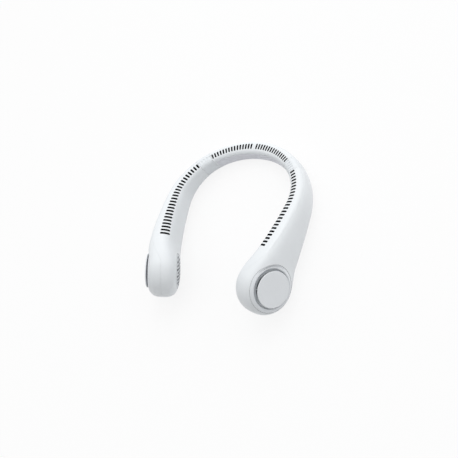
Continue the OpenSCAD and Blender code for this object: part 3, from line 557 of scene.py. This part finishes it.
def columnsOver(first, last, centres, width, plain=3.0):
    # (distance, offset from its slot's middle or None, slot number or None) for each column
    columns, at = [(first, None, None)], first
    for number, centre in enumerate(centres + [None]):
        edge = last if centre is None else centre - width / 2
        count = max(1, round((edge - at) / plain)) if edge - at > plain else 2
        columns += [(at + (edge - at) * k / count, None, None) for k in range(1, count)]
        if centre is None:
            columns.append((last, None, None))
        else:
            offsets = [width / 2 * sin(radians(t)) for t in slotTurns]
            columns += [(centre + offset, offset, number) for offset in offsets]
            at = centre + width / 2
    return columns


def slotMarks(s, offset, width):
    # angles of the slot's inner and outer end at one column, rounded within the slot
    half = width / 2
    bulge = sqrt(max(0.0, half * half - offset * offset)) if offset is not None else 0.0
    thick = station(s)["thick"]
    inner = along("slotInner", s) * thick + half - bulge
    outer = along("slotOuter", s) * thick - half + bulge
    return 360 + shareAngle(inner / thick), 360 + shareAngle(outer / thick)


casing = {"rows": (9, 12, 7, 5, 6), "padLow": 238.2, "padHigh": 301.8, "edge": 0.07, "near": 0.01}
cover = {"rows": 22, "edge": 0.07, "armSteps": 52, "neckSteps": 60, "middle": 120}
# outside, inner wall and rim, first for plain faces and then for those along an opening; the near-black inner walls,
# and the walls and rims along openings, are painted shade
shellPaints = [shellWhite, shellInsidePaintedShade, shellWhite, shellWhite, slotPaintedShade, slotPaintedShade]
alongOpening = 3


def casingRows(s, offset, width):
    seam = station(s)["seam"]
    inner, outer = slotMarks(s, offset, width)
    marks = (moved(s, 180 - seam, 1), casing["padLow"], casing["padHigh"], inner, outer, moved(s, 360 + seam, -1))
    return evenAngles(s, marks, casing["rows"])


def coverRows(s):
    seam = station(s)["seam"]
    return evenAngles(s, (moved(s, seam, 1), moved(s, 180 - seam, -1)), (cover["rows"],))


def coverStrip(shape, first, last, count):
    stops = spaced(first, last, count)
    rows = [coverRows(s) for s in stops]
    grid(shape, len(stops), len(rows[0]), lambda j, i: skinPoint(stops[j], rows[j][i]))
    return rows


def cellsBetween(cells, columns, low, high):
    # the cells of the slots: rows between two numbers, columns of one slot
    return [face for (j, i), face in cells.items()
            if low <= i < high and columns[j][2] is not None and columns[j][2] == columns[j + 1][2]]


def slotFaces(cells, columns):
    low = sum(casing["rows"][:3])
    holes = cellsBetween(cells, columns, low, low + casing["rows"][3])
    # the faces beside the slots take the paints whose inner wall and rim are painted shade
    for face in holes:
        for edge in face.edges:
            for beside in edge.link_faces:
                beside.material_index = alongOpening
    return holes


def casingStrip(shape, columns, width):
    rows = [casingRows(s, offset, width) for s, offset, number in columns]
    return grid(shape, len(columns), len(rows[0]), lambda j, i: skinPoint(columns[j][0], rows[j][i])), rows


head = {"joinAt": 176.0, "seamSteps": 14, "rings": 12, "frontSteps": 56}


def headSide(shape, rowsAtJoin, side, holeRadius):
    # the head's face round its hole: fans from the hole to the parting line and to the strip behind it
    outer = side > 0
    flat = 0 if outer else 360
    way = 1 if outer else -1
    behind, end = head["joinAt"], band["headAt"]
    back = spaced(end, behind, head["seamSteps"])[:-1]
    # (distance, angle) from the head's top seam, back, down the strip's last column, and forward again
    edge = [(s, moved(s, flat + station(s)["seam"], way)) for s in back]
    edge += [(behind, a) for a in (rowsAtJoin if outer else reversed(rowsAtJoin))]
    edge += [(s, moved(s, 180 - station(s)["seam"], -way)) for s in reversed(back)]
    points = [skinPoint(*e) for e in edge]
    lengths = [0.0]
    for p, q in zip(points, points[1:]):
        lengths.append(lengths[-1] + (q - p).length)
    holes = [skinOver(holeRadius, radians(90 + 180 * length / lengths[-1]), outer) for length in lengths]

    def rear(k, t):
        share = t / head["rings"]
        return skinPoint(*(h + (e - h) * share for h, e in zip(holes[k], edge[k])))

    holeAngle, seamAngle = holes[0][1], edge[0][1]

    def front(k, t):
        share = t / head["rings"]
        turn = 90 - 180 * k / head["frontSteps"]
        return headPoint(turn, holeAngle + (seamAngle - holeAngle) * share)
    fans = (grid(shape, len(edge), head["rings"] + 1, rear),
            grid(shape, head["frontSteps"] + 1, head["rings"] + 1, front))
    # the faces at the hole take the painted-shade rim, a dark line along the gap
    for cells in fans:
        for (k, t), face in cells.items():
            face.material_index = alongOpening if t == 0 else 0


ring = {"radius": 24.9, "gap": 0.17, "opening": 20.2, "lip": 1.5, "wall": 1.2, "throat": 16.4, "throatAt": 11.6,
        "low": 10.9, "steps": 120, "spokes": 6, "spokeWide": 1.2, "hub": 7.0, "hubHole": 2.4, "hubTop": 12.0,
        "hubEdge": 0.2, "hubSteps": 64, "barSides": 12, "barInto": 0.4, "barPast": 0.6, "barFlat": 0.9, "footIn": 1.2,
        "footUp": 2.0, "edge": 0.14, "blendSteps": 6, "lipSteps": 7, "throatSteps": 8, "lipRounds": 20}
grille = {"radius": 19.2, "gap": 0.15, "hole": 2.8, "pitch": 4.3, "margin": 2.8, "thick": 1.6, "edge": 0.22,
          "rimIn": 0.02, "rimSteps": 96, "holeSteps": 16}


def armCover(mirrored):
    shape = bmesh.new()
    rows = coverStrip(shape, band["flexTo"], head["joinAt"], cover["armSteps"])
    headSide(shape, rows[-1], 1, ring["radius"] + ring["gap"])
    closeUp(shape)
    faceOut(shape, cover["middle"], 1)
    piece = sided(shape, "armCover", "arm_cover", shellPaints, mirrored)
    thicken(piece, band["wall"], cover["edge"], 1, 2)


def armCasing(mirrored):
    shape = bmesh.new()
    columns = columnsOver(band["flexTo"], head["joinAt"], slotCentres(armSlots), armSlots["width"])
    cells, rows = casingStrip(shape, columns, armSlots["width"])
    holes = slotFaces(cells, columns)
    headSide(shape, rows[-1], -1, grille["radius"] + grille["gap"])
    bmesh.ops.delete(shape, geom=holes, context="FACES")
    closeUp(shape)
    faceOut(shape, cover["middle"], -1)
    piece = sided(shape, "armCasing", "arm_casing", shellPaints, mirrored)
    thicken(piece, band["wall"], casing["edge"], 1, 2)


for mirrored in (False, True):
    armCover(mirrored)
    armCasing(mirrored)
print("arm shells made")

# Neck: cover, casing with its pad recess, and the pad
neckPad = {"low": 240.0, "high": 300.0, "to": 50.4, "thick": 0.8, "gap": 0.15, "crown": 0.2, "edge": 0.3,
           "columns": 72, "rows": 16, "fade": 12, "segments": 3}


def neckCover():
    shape = bmesh.new()
    coverStrip(shape, -band["flexFrom"], band["flexFrom"], cover["neckSteps"])
    faceOut(shape, 0, 1)
    piece = finish(shape, "neckCover", "neckband", "neck_cover", shellPaints)
    thicken(piece, band["wall"], cover["edge"], 1, 2)


def neckCasing():
    shape = bmesh.new()
    centres = slotCentres(neckSlots)
    columns = columnsOver(-band["flexFrom"], band["flexFrom"], [-s for s in reversed(centres)] + centres,
                          neckSlots["width"])
    cells, rows = casingStrip(shape, columns, neckSlots["width"])
    holes = slotFaces(cells, columns)
    reach = neckSlots["to"] - neckSlots["width"] / 2 + casing["near"]
    low = casing["rows"][0]
    recess = [face for (j, i), face in cells.items() if low <= i < low + casing["rows"][1]
              and max(abs(columns[j][0]), abs(columns[j + 1][0])) <= reach]
    faceOut(shape, 0, -1)
    sunk = pullOut(shape, recess)
    shape.normal_update()
    for vert in sunk:
        vert.co -= vert.normal * (neckPad["thick"] + neckPad["gap"])
    bmesh.ops.delete(shape, geom=holes + recess, context="FACES")
    piece = finish(shape, "neckCasing", "neckband", "neck_casing", shellPaints)
    thicken(piece, band["wall"], casing["edge"], 1, 2, even=False)


def neckLining():
    shape = bmesh.new()
    columns, rows = neckPad["columns"], neckPad["rows"]

    def padPoint(j, i):
        s = neckPad["to"] * (2 * j / columns - 1)
        angles = evenAngles(s, (neckPad["low"], neckPad["high"]), (rows,))
        across = min(1, (1 - abs(2 * j / columns - 1)) * neckPad["fade"])
        down = 4 * (i / rows) * (1 - i / rows)
        return skinPoint(s, angles[i], -neckPad["crown"] * down ** 0.5 * (1 - (1 - across) ** 2))
    grid(shape, columns + 1, rows + 1, padPoint)
    faceOut(shape, 0, -1)
    piece = finish(shape, "neckPad", "neckband", "neck_pad", [softPad])
    thicken(piece, neckPad["thick"], neckPad["edge"])
    piece.modifiers["edges"].segments = neckPad["segments"]


neckCover()
neckCasing()
neckLining()
print("neck made")

# Flexible zones: sleeve with blind grooves, spring strip and cable
sleeve = {"from": 53.45, "to": 70.25, "wall": 2.4, "grooves": 5, "first": 54.8833, "pitch": 3.4833, "width": 1.7,
          "depth": 0.6, "edge": 0.12, "rows": (10, 12, 9, 8, 5), "bendFrom": 55.2, "bendTo": 68.4,
          "plain": 1.2, "inset": 0.1, "middle": 62}
strip = {"from": 43.3, "to": 80.4, "wide": 5.0, "thick": 0.5, "clear": 0.3, "stops": 36, "edge": 0.12}
flexCable = {"from": 47.3, "to": 76.4, "radius": 1.2, "stops": 40, "sides": 14, "lifts": (0.3, 0.3, 2.0),
             "liftAt": (0.0, 38.9, 50.9), "edge": 0.15, "angle": 50}


def flexible(shape, name, stands, paints, mirrored):
    piece = sided(shape, name, stands, paints, mirrored, None)
    across = Vector((-1 if mirrored else 1, 1, 1)) / perMetre
    start, stop = (place(sleeve[key], 0, 0) * across for key in ("bendFrom", "bendTo"))
    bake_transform(piece)
    return piece


def nearFirst(edge):
    # an open edge at the sleeve's first end rather than its last
    middle = (edge.verts[0].co + edge.verts[1].co) / 2
    first, last = (place(sleeve[key], 0, 0) for key in ("from", "to"))
    return edge.is_boundary and (middle - first).length < (middle - last).length


def flexSleeve(mirrored):
    shape = bmesh.new()
    centres = [sleeve["first"] + sleeve["pitch"] * k for k in range(sleeve["grooves"])]
    columns = columnsOver(sleeve["from"], sleeve["to"], centres, sleeve["width"], sleeve["plain"])
    rows = []
    for s, offset, number in columns:
        inner, outer = slotMarks(s, offset, sleeve["width"])
        rows.append(evenAngles(s, (outer - 360, 90, 180, 270, inner, outer), sleeve["rows"]))
    count = len(rows[0]) - 1
    cells = grid(shape, len(columns), count + 1, lambda j, i: skinPoint(columns[j][0], rows[j][i]))
    grooves = cellsBetween(cells, columns, sum(sleeve["rows"][:4]), count)
    closeUp(shape)
    faceOut(shape, sleeve["middle"], 1)
    bmesh.ops.inset_region(shape, faces=grooves, thickness=sleeve["inset"], depth=-sleeve["depth"],
                           use_boundary=True, use_even_offset=True)
    grid(shape, len(columns), count + 1,
         lambda j, i: skinPoint(columns[j][0], rows[j][i], sleeve["wall"]))
    closeUp(shape)
    bmesh.ops.bridge_loops(shape, edges=[edge for edge in shape.edges if nearFirst(edge)])
    bmesh.ops.bridge_loops(shape, edges=[edge for edge in shape.edges if edge.is_boundary])
    closeUp(shape)
    piece = flexible(shape, "flexSleeve", "flex_sleeve", [sleeveSilicone], mirrored)
    soften(piece, sleeve["edge"])


def stripAt(s):
    at = station(s)
    inside = at["thick"] - sleeve["wall"]
    share = strip["wide"] / 2 / (at["high"] - sleeve["wall"])
    out = strip["clear"] - inside * oval(share)
    half = strip["wide"] / 2
    corners = ((0, -half), (0, half), (strip["thick"], half), (strip["thick"], -half))
    return [place(s, out + across, up) for across, up in corners]


def springStrip(mirrored):
    shape = bmesh.new()
    tube(shape, spaced(strip["from"], strip["to"], strip["stops"]), stripAt, 4)
    piece = flexible(shape, "springStrip", "spring_strip", [springSteel], mirrored)
    soften(piece, strip["edge"])


def cableAt(s):
    r = flexCable["radius"]
    up = -(station(s)["high"] - band["wall"] - through(flexCable["lifts"], flexCable["liftAt"], s) - r)
    turns = [2 * pi * k / flexCable["sides"] for k in range(flexCable["sides"])]
    return [place(s, r * cos(turn), up + r * sin(turn)) for turn in turns]


def cableOver(mirrored):
    shape = bmesh.new()
    stops = spaced(flexCable["from"], flexCable["to"], flexCable["stops"])
    tube(shape, stops, cableAt, flexCable["sides"])
    piece = flexible(shape, "flexCable", "flex_cable", [cableJacket], mirrored)
    soften(piece, flexCable["edge"], angle=flexCable["angle"])


for mirrored in (False, True):
    flexSleeve(mirrored)
    springStrip(mirrored)
    cableOver(mirrored)
print("flexible zones made")


def lathe(shape, profile, steps, closed=False):
    # turns a line of (radius, height) points round the axis
    verts = [shape.verts.new((r, 0, z)) for r, z in profile]
    pairs = list(zip(verts, verts[1:])) + ([(verts[-1], verts[0])] if closed else [])
    edges = [shape.edges.new(pair) for pair in pairs]
    bmesh.ops.spin(shape, geom=verts + edges, cent=(0, 0, 0), axis=(0, 0, 1), angle=2 * pi, steps=steps,
                   use_merge=True)


def rounded(r, z, edge, quarter, steps=4):
    # a quarter of a circle round (r, z), for a profile's edge: which quarter, from its first angle
    turns = [radians(quarter + 90 * k / steps) for k in range(steps + 1)]
    return [(r + edge * cos(turn), z + edge * sin(turn)) for turn in turns]


def ringRise(r):
    # how steeply the dome rises towards the middle
    return atan((domeAt(r - 0.01) - domeAt(r + 0.01)) / 0.02)


def ringProfile():
    # (radius, height, share of the skin's own height) from the rim inwards, down the throat and back
    out = ring["radius"] - ring["gap"] / 2
    start = ring["opening"] + ring["lip"]
    for k in range(ring["lipRounds"]):
        tilt = ringRise(start)
        start = ring["opening"] + ring["lip"] * (1 + sin(tilt))
    middle = domeAt(start) - ring["lip"] * cos(tilt)
    profile = []
    for k in range(ring["blendSteps"] + 1):
        share = 1 - k / ring["blendSteps"]
        r = start + (out - start) * share
        profile.append((r, domeAt(r), share * share * (3 - 2 * share)))
    for turn in spaced(-tilt, pi / 2, ring["lipSteps"])[1:]:
        profile.append((ring["opening"] + ring["lip"] * (1 - sin(turn)), middle + ring["lip"] * cos(turn), 0.0))
    for turn in spaced(0, pi / 2, ring["throatSteps"])[1:]:
        profile.append((ring["throat"] + (ring["opening"] - ring["throat"]) * cos(turn),
                        middle - (middle - ring["throatAt"]) * sin(turn), 0.0))
    profile += [(ring["throat"], ring["low"], 0.0), (ring["opening"] - ring["footIn"], ring["low"], 0.0),
                (ring["opening"] + ring["wall"], ring["low"] + ring["footUp"], 0.0),
                (out, domeAt(out) - ring["wall"], 1.0)]
    return profile


def intakeRing(mirrored):
    shape = bmesh.new()
    profile = ringProfile()
    steps = ring["steps"]

    def ringPoint(j, i):
        r, z, share = profile[i % len(profile)]
        turn = 2 * pi * (j % steps) / steps
        if share > 0:
            z += share * (headRise(r, turn, True) - domeAt(r))
        return headFrame @ Vector((-r * cos(turn), r * sin(turn), z))
    grid(shape, steps + 1, len(profile) + 1, ringPoint)
    closeUp(shape)
    basket = bmesh.new()
    hub, edge = ring["hub"], ring["hubEdge"]
    lathe(basket, [(ring["hubHole"], ring["low"])] + rounded(hub - edge, ring["low"] + edge, edge, -90)
          + rounded(hub - edge, ring["hubTop"] - edge, edge, 0) + [(ring["hubHole"], ring["hubTop"])],
          ring["hubSteps"], True)
    closeUp(basket)
    for k in range(ring["spokes"]):
        sides = ring["barSides"]
        made = bmesh.ops.create_circle(basket, segments=sides, radius=ring["spokeWide"] / 2, cap_ends=True)["verts"]
        moving = pullOut(basket, [face for face in basket.faces if face.verts[0] in made and len(face.verts) == sides])
        long = ring["throat"] + ring["barPast"] - hub + ring["barInto"]
        bmesh.ops.translate(basket, vec=(0, 0, long), verts=moving)
        bar = made + moving
        bmesh.ops.scale(basket, vec=(1, ring["barFlat"], 1), verts=bar)
        bmesh.ops.rotate(basket, cent=(0, 0, 0), matrix=Matrix.Rotation(pi / 2, 3, "Y"), verts=bar)
        bmesh.ops.translate(basket, vec=(hub - ring["barInto"], 0, (ring["low"] + ring["hubTop"]) / 2), verts=bar)
        spin = Matrix.Rotation(2 * pi * k / ring["spokes"], 3, "Z")
        bmesh.ops.rotate(basket, cent=(0, 0, 0), matrix=spin, verts=bar)
    bmesh.ops.recalc_face_normals(basket, faces=basket.faces)
    stand(basket, headFrame)
    join(shape, basket)
    soften(sided(shape, "intakeRing", "intake_ring", [ringWhite], mirrored), ring["edge"])


cap = {"radius": 18.9, "top": 18.1, "low": 16.9, "edge": 0.55, "steps": 128, "rings": (0.96, 0.6, 0.3, 0),
       "post": 1.6, "postAt": 4.8, "foot": 12.0, "posts": (30, 150, 270), "postSteps": 24, "waistAt": 0.6,
       "waist": 0.85, "crown": 1.15, "sink": 0.1}


def intakeCap(mirrored):
    shape = bmesh.new()
    r, edge = cap["radius"], cap["edge"]
    profile = [(0, cap["low"])] + rounded(r - edge, cap["low"] + edge, edge, -90, 3)
    profile += rounded(r - edge, cap["top"] - edge, edge, 0, 5)
    profile += [(r * share, cap["top"]) for share in cap["rings"]]
    lathe(shape, profile, cap["steps"])
    closeUp(shape)
    top = cap["low"] + cap["sink"]
    for angle in cap["posts"]:
        post = bmesh.new()
        lathe(post, [(0, cap["foot"]), (cap["post"], cap["foot"]),
                     (cap["post"] * cap["waist"], cap["low"] - cap["waistAt"]), (cap["post"] * cap["crown"], top),
                     (0, top)], cap["postSteps"])
        closeUp(post)
        bmesh.ops.translate(post, vec=(cap["postAt"] * cos(radians(angle)), cap["postAt"] * sin(radians(angle)), 0),
                            verts=post.verts)
        join(shape, post)
    stand(shape, headFrame)
    evenNormals(sided(shape, "intakeCap", "intake_cap", [capSatin], mirrored))


def innerGrille(mirrored):
    # a plate with round holes in a triangle pattern, filled between its outlines and then domed
    shape = bmesh.new()
    bmesh.ops.create_circle(shape, segments=grille["rimSteps"], radius=grille["radius"] - grille["rimIn"])
    rows = int(grille["radius"] / grille["pitch"]) + 1
    for i in range(-rows, rows + 1):
        for j in range(-rows, rows + 1):
            x, y = grille["pitch"] * (j + fmod(i, 2) / 2), grille["pitch"] * i * sin(radians(60))
            if hypot(x, y) < grille["radius"] - grille["margin"]:
                bmesh.ops.create_circle(shape, segments=grille["holeSteps"], radius=grille["hole"] / 2,
                                        matrix=Matrix.Translation((x, y, 0)))
    bmesh.ops.triangle_fill(shape, edges=shape.edges, use_beauty=True, normal=(0, 0, -1))
    for face in shape.faces:
        if face.normal.z > 0:
            face.normal_flip()
    for vert in shape.verts:
        vert.co.z = -headRise(vert.co.xy.length, atan2(vert.co.y, -vert.co.x), False)
    stand(shape, headFrame)
    piece = sided(shape, "innerGrille", "inner_grille", [grilleGreyPaintedShade, slotPaintedShade], mirrored)
    # painted shade: the walls of the holes and the plate's rim are near black
    thicken(piece, grille["thick"], grille["edge"], rim=1)


for mirrored in (False, True):
    intakeRing(mirrored)
    intakeCap(mirrored)
    innerGrille(mirrored)
print("heads made")

# Controls on the right arm's inner face: the button, and the holes for it, the lights and the socket
controls = {"at": 175.0, "up": 11.1, "buttonRise": 4.6, "buttonAcross": -3.0, "buttonRadius": 4.0, "flange": 4.8,
            "proud": 0.8, "back": -8.75, "dish": 0.35, "lightAcross": 4.0, "lightRise": 2.6, "lightPitch": 2.6,
            "lights": 4, "lightHole": 0.82, "lightRadius": 0.7, "board": -5.6, "socketOut": -2.8,
            "socketWide": 9.0, "socketHigh": 3.2, "faceEdge": 0.45, "dishShare": 0.8, "dishSteps": 6,
            "bodyLong": 3.8, "flangeEdge": 0.15, "buttonSteps": 72, "pinSteps": 24, "barEdge": 0.2,
            "pinEnd": ((0, -0.12), (0.5, -0.09), (0.86, 0.02), (1, 0.22))}
cutters = {"mouth": 1.5, "flareShare": 0.3, "deep": 5.0, "steps": 48, "buttonFlare": 0.3, "lightFlare": 0.1,
           "buttonClear": 0.25, "socketClear": 0.15, "socketSteps": 32, "socketFrom": 1.2, "socketLong": 7.0}
controlFrame = lineFrame(controls["at"])
boardUp = controls["up"] - station(controls["at"])["high"]
buttonUp = boardUp + controls["buttonRise"]
lightUps = [boardUp + controls["lightRise"] + (k - (controls["lights"] - 1) / 2) * controls["lightPitch"]
            for k in range(controls["lights"])]


def innerSkin(up):
    return -station(controls["at"])["thick"] * oval(up / station(controls["at"])["high"])


buttonFace = controls["proud"] - innerSkin(buttonUp)


def powerButton():
    shape = bmesh.new()
    r, face, edge = controls["buttonRadius"], -buttonFace, controls["faceEdge"]
    steps, chamfer, flange = controls["dishSteps"], controls["flangeEdge"], controls["flange"]
    dish = [(r * controls["dishShare"] * k / steps, face + controls["dish"] * (1 - (k / steps) ** 2))
            for k in range(steps + 1)]
    front = face + controls["proud"] + controls["bodyLong"]
    profile = dish + rounded(r - edge, face + edge, edge, -90, 5)
    profile += [(r, front), (flange - chamfer, front), (flange, front + chamfer), (flange, controls["back"]),
                (0, controls["back"])]
    lathe(shape, profile, controls["buttonSteps"])
    closeUp(shape)
    bmesh.ops.translate(shape, vec=(controls["buttonAcross"], buttonUp, 0), verts=shape.verts)
    stand(shape, controlFrame)
    evenNormals(finish(shape, "powerButton", "power_button", "power_button", [buttonSatin]))


def lightPipes():
    # pins whose domed ends follow the skin, on the bar that lies along the board
    shape = bmesh.new()
    r, board = controls["lightRadius"], controls["board"]
    for up in lightUps:
        pin, skin = bmesh.new(), innerSkin(up)
        end = [(r * share, skin + rise) for share, rise in controls["pinEnd"]]
        lathe(pin, end + [(r, board - r), (0, board - r)], controls["pinSteps"])
        closeUp(pin)
        bmesh.ops.translate(pin, vec=(controls["lightAcross"], up, 0), verts=pin.verts)
        join(shape, pin)
    bar = bmesh.new()
    bmesh.ops.create_cube(bar, size=1)
    bmesh.ops.scale(bar, vec=(2 * r, controls["lights"] * controls["lightPitch"], 2 * r), verts=bar.verts)
    bmesh.ops.bevel(bar, geom=bar.edges, offset=controls["barEdge"], affect="EDGES", segments=2, profile=0.5,
                    material=-1)
    middle = (controls["lightAcross"], sum(lightUps) / len(lightUps), board - r)
    bmesh.ops.translate(bar, vec=middle, verts=bar.verts)
    join(shape, bar)
    stand(shape, controlFrame)
    evenNormals(finish(shape, "lightPipes", "arm_right", "indicator_lights", [clearPipe]))


def cutter(shape, across, up, radius, outside, flare):
    # a round cutter whose mouth opens outwards, so that the hole gets a rounded rim
    part = bmesh.new()
    mouth, bend, end = cutters["mouth"], flare * cutters["flareShare"], outside + cutters["deep"]
    lathe(part, [(0, outside - mouth), (radius + flare + mouth, outside - mouth), (radius + flare, outside),
                 (radius + bend, outside + bend), (radius, outside + flare), (radius, end), (0, end)],
          cutters["steps"])
    closeUp(part)
    bmesh.ops.translate(part, vec=(across, up, 0), verts=part.verts)
    join(shape, part)


def controlHoles(casingPiece):
    shape = bmesh.new()
    cutter(shape, controls["buttonAcross"], buttonUp, controls["buttonRadius"] + cutters["buttonClear"],
           innerSkin(buttonUp), cutters["buttonFlare"])
    for up in lightUps:
        cutter(shape, controls["lightAcross"], up, controls["lightHole"], innerSkin(up), cutters["lightFlare"])
    part = bmesh.new()
    long = (controls["socketWide"] - controls["socketHigh"]) / 2
    r = controls["socketHigh"] / 2 + cutters["socketClear"]
    low = -station(controls["at"])["high"] - cutters["socketFrom"]
    made = bmesh.ops.create_circle(part, segments=cutters["socketSteps"], radius=r, cap_ends=True)["verts"]
    for vert in made:
        vert.co.x += long if vert.co.x > 0 else -long
    bmesh.ops.translate(part, vec=(0, 0, -cutters["socketLong"]), verts=pullOut(part, part.faces[:]))
    bmesh.ops.rotate(part, cent=(0, 0, 0), matrix=Matrix.Rotation(pi / 2, 3, "X"), verts=part.verts)
    bmesh.ops.translate(part, vec=(0, low, controls["socketOut"]), verts=part.verts)
    bmesh.ops.recalc_face_normals(part, faces=part.faces)
    join(shape, part)
    stand(shape, controlFrame)
    tool = finish(shape, "holeCutters", None, None, [slotPaintedShade])
    settle(casingPiece)
    cut = casingPiece.modifiers.new("holes", "BOOLEAN")
    cut.object, cut.operation, cut.solver = tool, "DIFFERENCE", "EXACT"
    settle(casingPiece)
    bpy.data.objects.remove(tool)
    for face in casingPiece.data.polygons:
        face.use_smooth = True
    evenNormals(casingPiece)


controlHoles(bpy.data.objects["armCasing.right"])
powerButton()
lightPipes()
print("controls made")

# The CAD's own pieces that stay, by name without the side
headAxis = {"right": tuple(headFrame.col[2][:3]), "left": (-headFrame.col[2][0], *headFrame.col[2][1:3])}
stayPaints = {"neck_cable": cableJacket, "main_board": boardGreen, "board_screws": screwSteel,
              "tact_switch": darkPlastic, "usb_socket": socketSteel, "arm_cable": cableJacket,
              # the duct floor's near black is painted shade
              "duct_floor": ductPaintedShade, "battery_cell": cellBlue, "blower_scroll": innerPlastic,
              "motor_base": motorPlastic, "motor_screws": screwSteel, "shaft_bearings": sinteredBronze,
              "motor_shaft": shaftSteel, "rotor_cup": turnedMetal, "rotor_magnet": magnetFerrite,
              "impeller": innerPlastic}
for end, axis in headAxis.items():
    stayPaints["motor_stator_" + end] = wound("copperWire." + end, axis)
for name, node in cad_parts.items():
    plain = name.removesuffix("_left").removesuffix("_right")
    paint = stayPaints.get(name) or stayPaints.get(plain) or shellWhite
    for slot in node.material_slots:
        slot.material = paint
print("CAD pieces dressed")

# Floor, backdrop and light
stage = {"size": 6.0, "colour": (0.86, 0.86, 0.865), "other": (0.84, 0.84, 0.845), "glow": 1.0, "share": 0.84,
         "sky": 0.2, "tent": 1.27, "tentTowards": (0.0, 0.53, 0.85), "keyAt": (0.0, 0.6, 1.0), "keySize": 0.7,
         "keyPower": 2.0}


def paleFloor():
    # the floor as the camera sees it is near white and still takes some of the shadow
    paint = Paint("floorPale")
    base = paint.blend(paint.noise(3.0), stage["colour"], stage["other"])
    plain = paint.node("ShaderNodeBsdfPrincipled", None, {"Base Color": base, "Roughness": 0.9,
                                                         "Specular IOR Level": 0.1})
    glow = paint.node("ShaderNodeEmission", None, {"Color": (1, 1, 1, 1), "Strength": stage["glow"]})
    seen = paint.ray("Camera") + paint.ray("Glossy")
    mixed = paint.node("ShaderNodeMixShader", None, {0: seen * stage["share"], 1: plain, 2: glow})
    paint.node("ShaderNodeOutputMaterial", None, {"Surface": mixed}, out=None)
    return paint.owner


shape = bmesh.new()
bmesh.ops.create_grid(shape, x_segments=2, y_segments=2, size=stage["size"] * perMetre)
floorSheet = finish(shape, "floor", None, None, [paleFloor()])
floorSheet.data.transform(Matrix.Translation((0, 0, cadBox[0][2])))


def lightTent():
    # white to the camera and in reflections; for the rest brighter above and behind
    sky = Paint("studio", "worlds", "Generated")
    bpy.context.scene.world = sky.owner
    towards = [stage["tent"] * part for part in stage["tentTowards"]]
    facing = sky.node("ShaderNodeVectorMath", {"operation": "DOT_PRODUCT"}, {0: sky.point, 1: towards}, out="Value")
    strength = sky.maths("MAXIMUM", facing, 0.0) + stage["sky"]
    tent, plain = (sky.node("ShaderNodeBackground", None, {"Color": (1, 1, 1, 1), "Strength": value})
                   for value in (strength, 1.0))
    seen = sky.ray("Camera") + sky.ray("Glossy") + sky.ray("Transmission")
    mixed = sky.node("ShaderNodeMixShader", None, {0: seen, 1: tent, 2: plain})
    sky.node("ShaderNodeOutputWorld", None, {"Surface": mixed}, out=None)


lightTent()


def softBox(name, at, aim, size, power):
    data = bpy.data.lights.new(name, "AREA")
    data.shape, data.size, data.energy = "DISK", size, power
    lamp = bpy.data.objects.new(name, data)
    lamp.location = at
    lamp.rotation_mode = "QUATERNION"
    lamp.rotation_quaternion = (Vector(aim) - Vector(at)).to_track_quat("-Z", "Y")
    bpy.context.scene.collection.objects.link(lamp)


softBox("keyLight", stage["keyAt"], (0, 0, 0), stage["keySize"], stage["keyPower"])
bpy.context.scene.view_settings.view_transform = "Standard"
print("stage set")
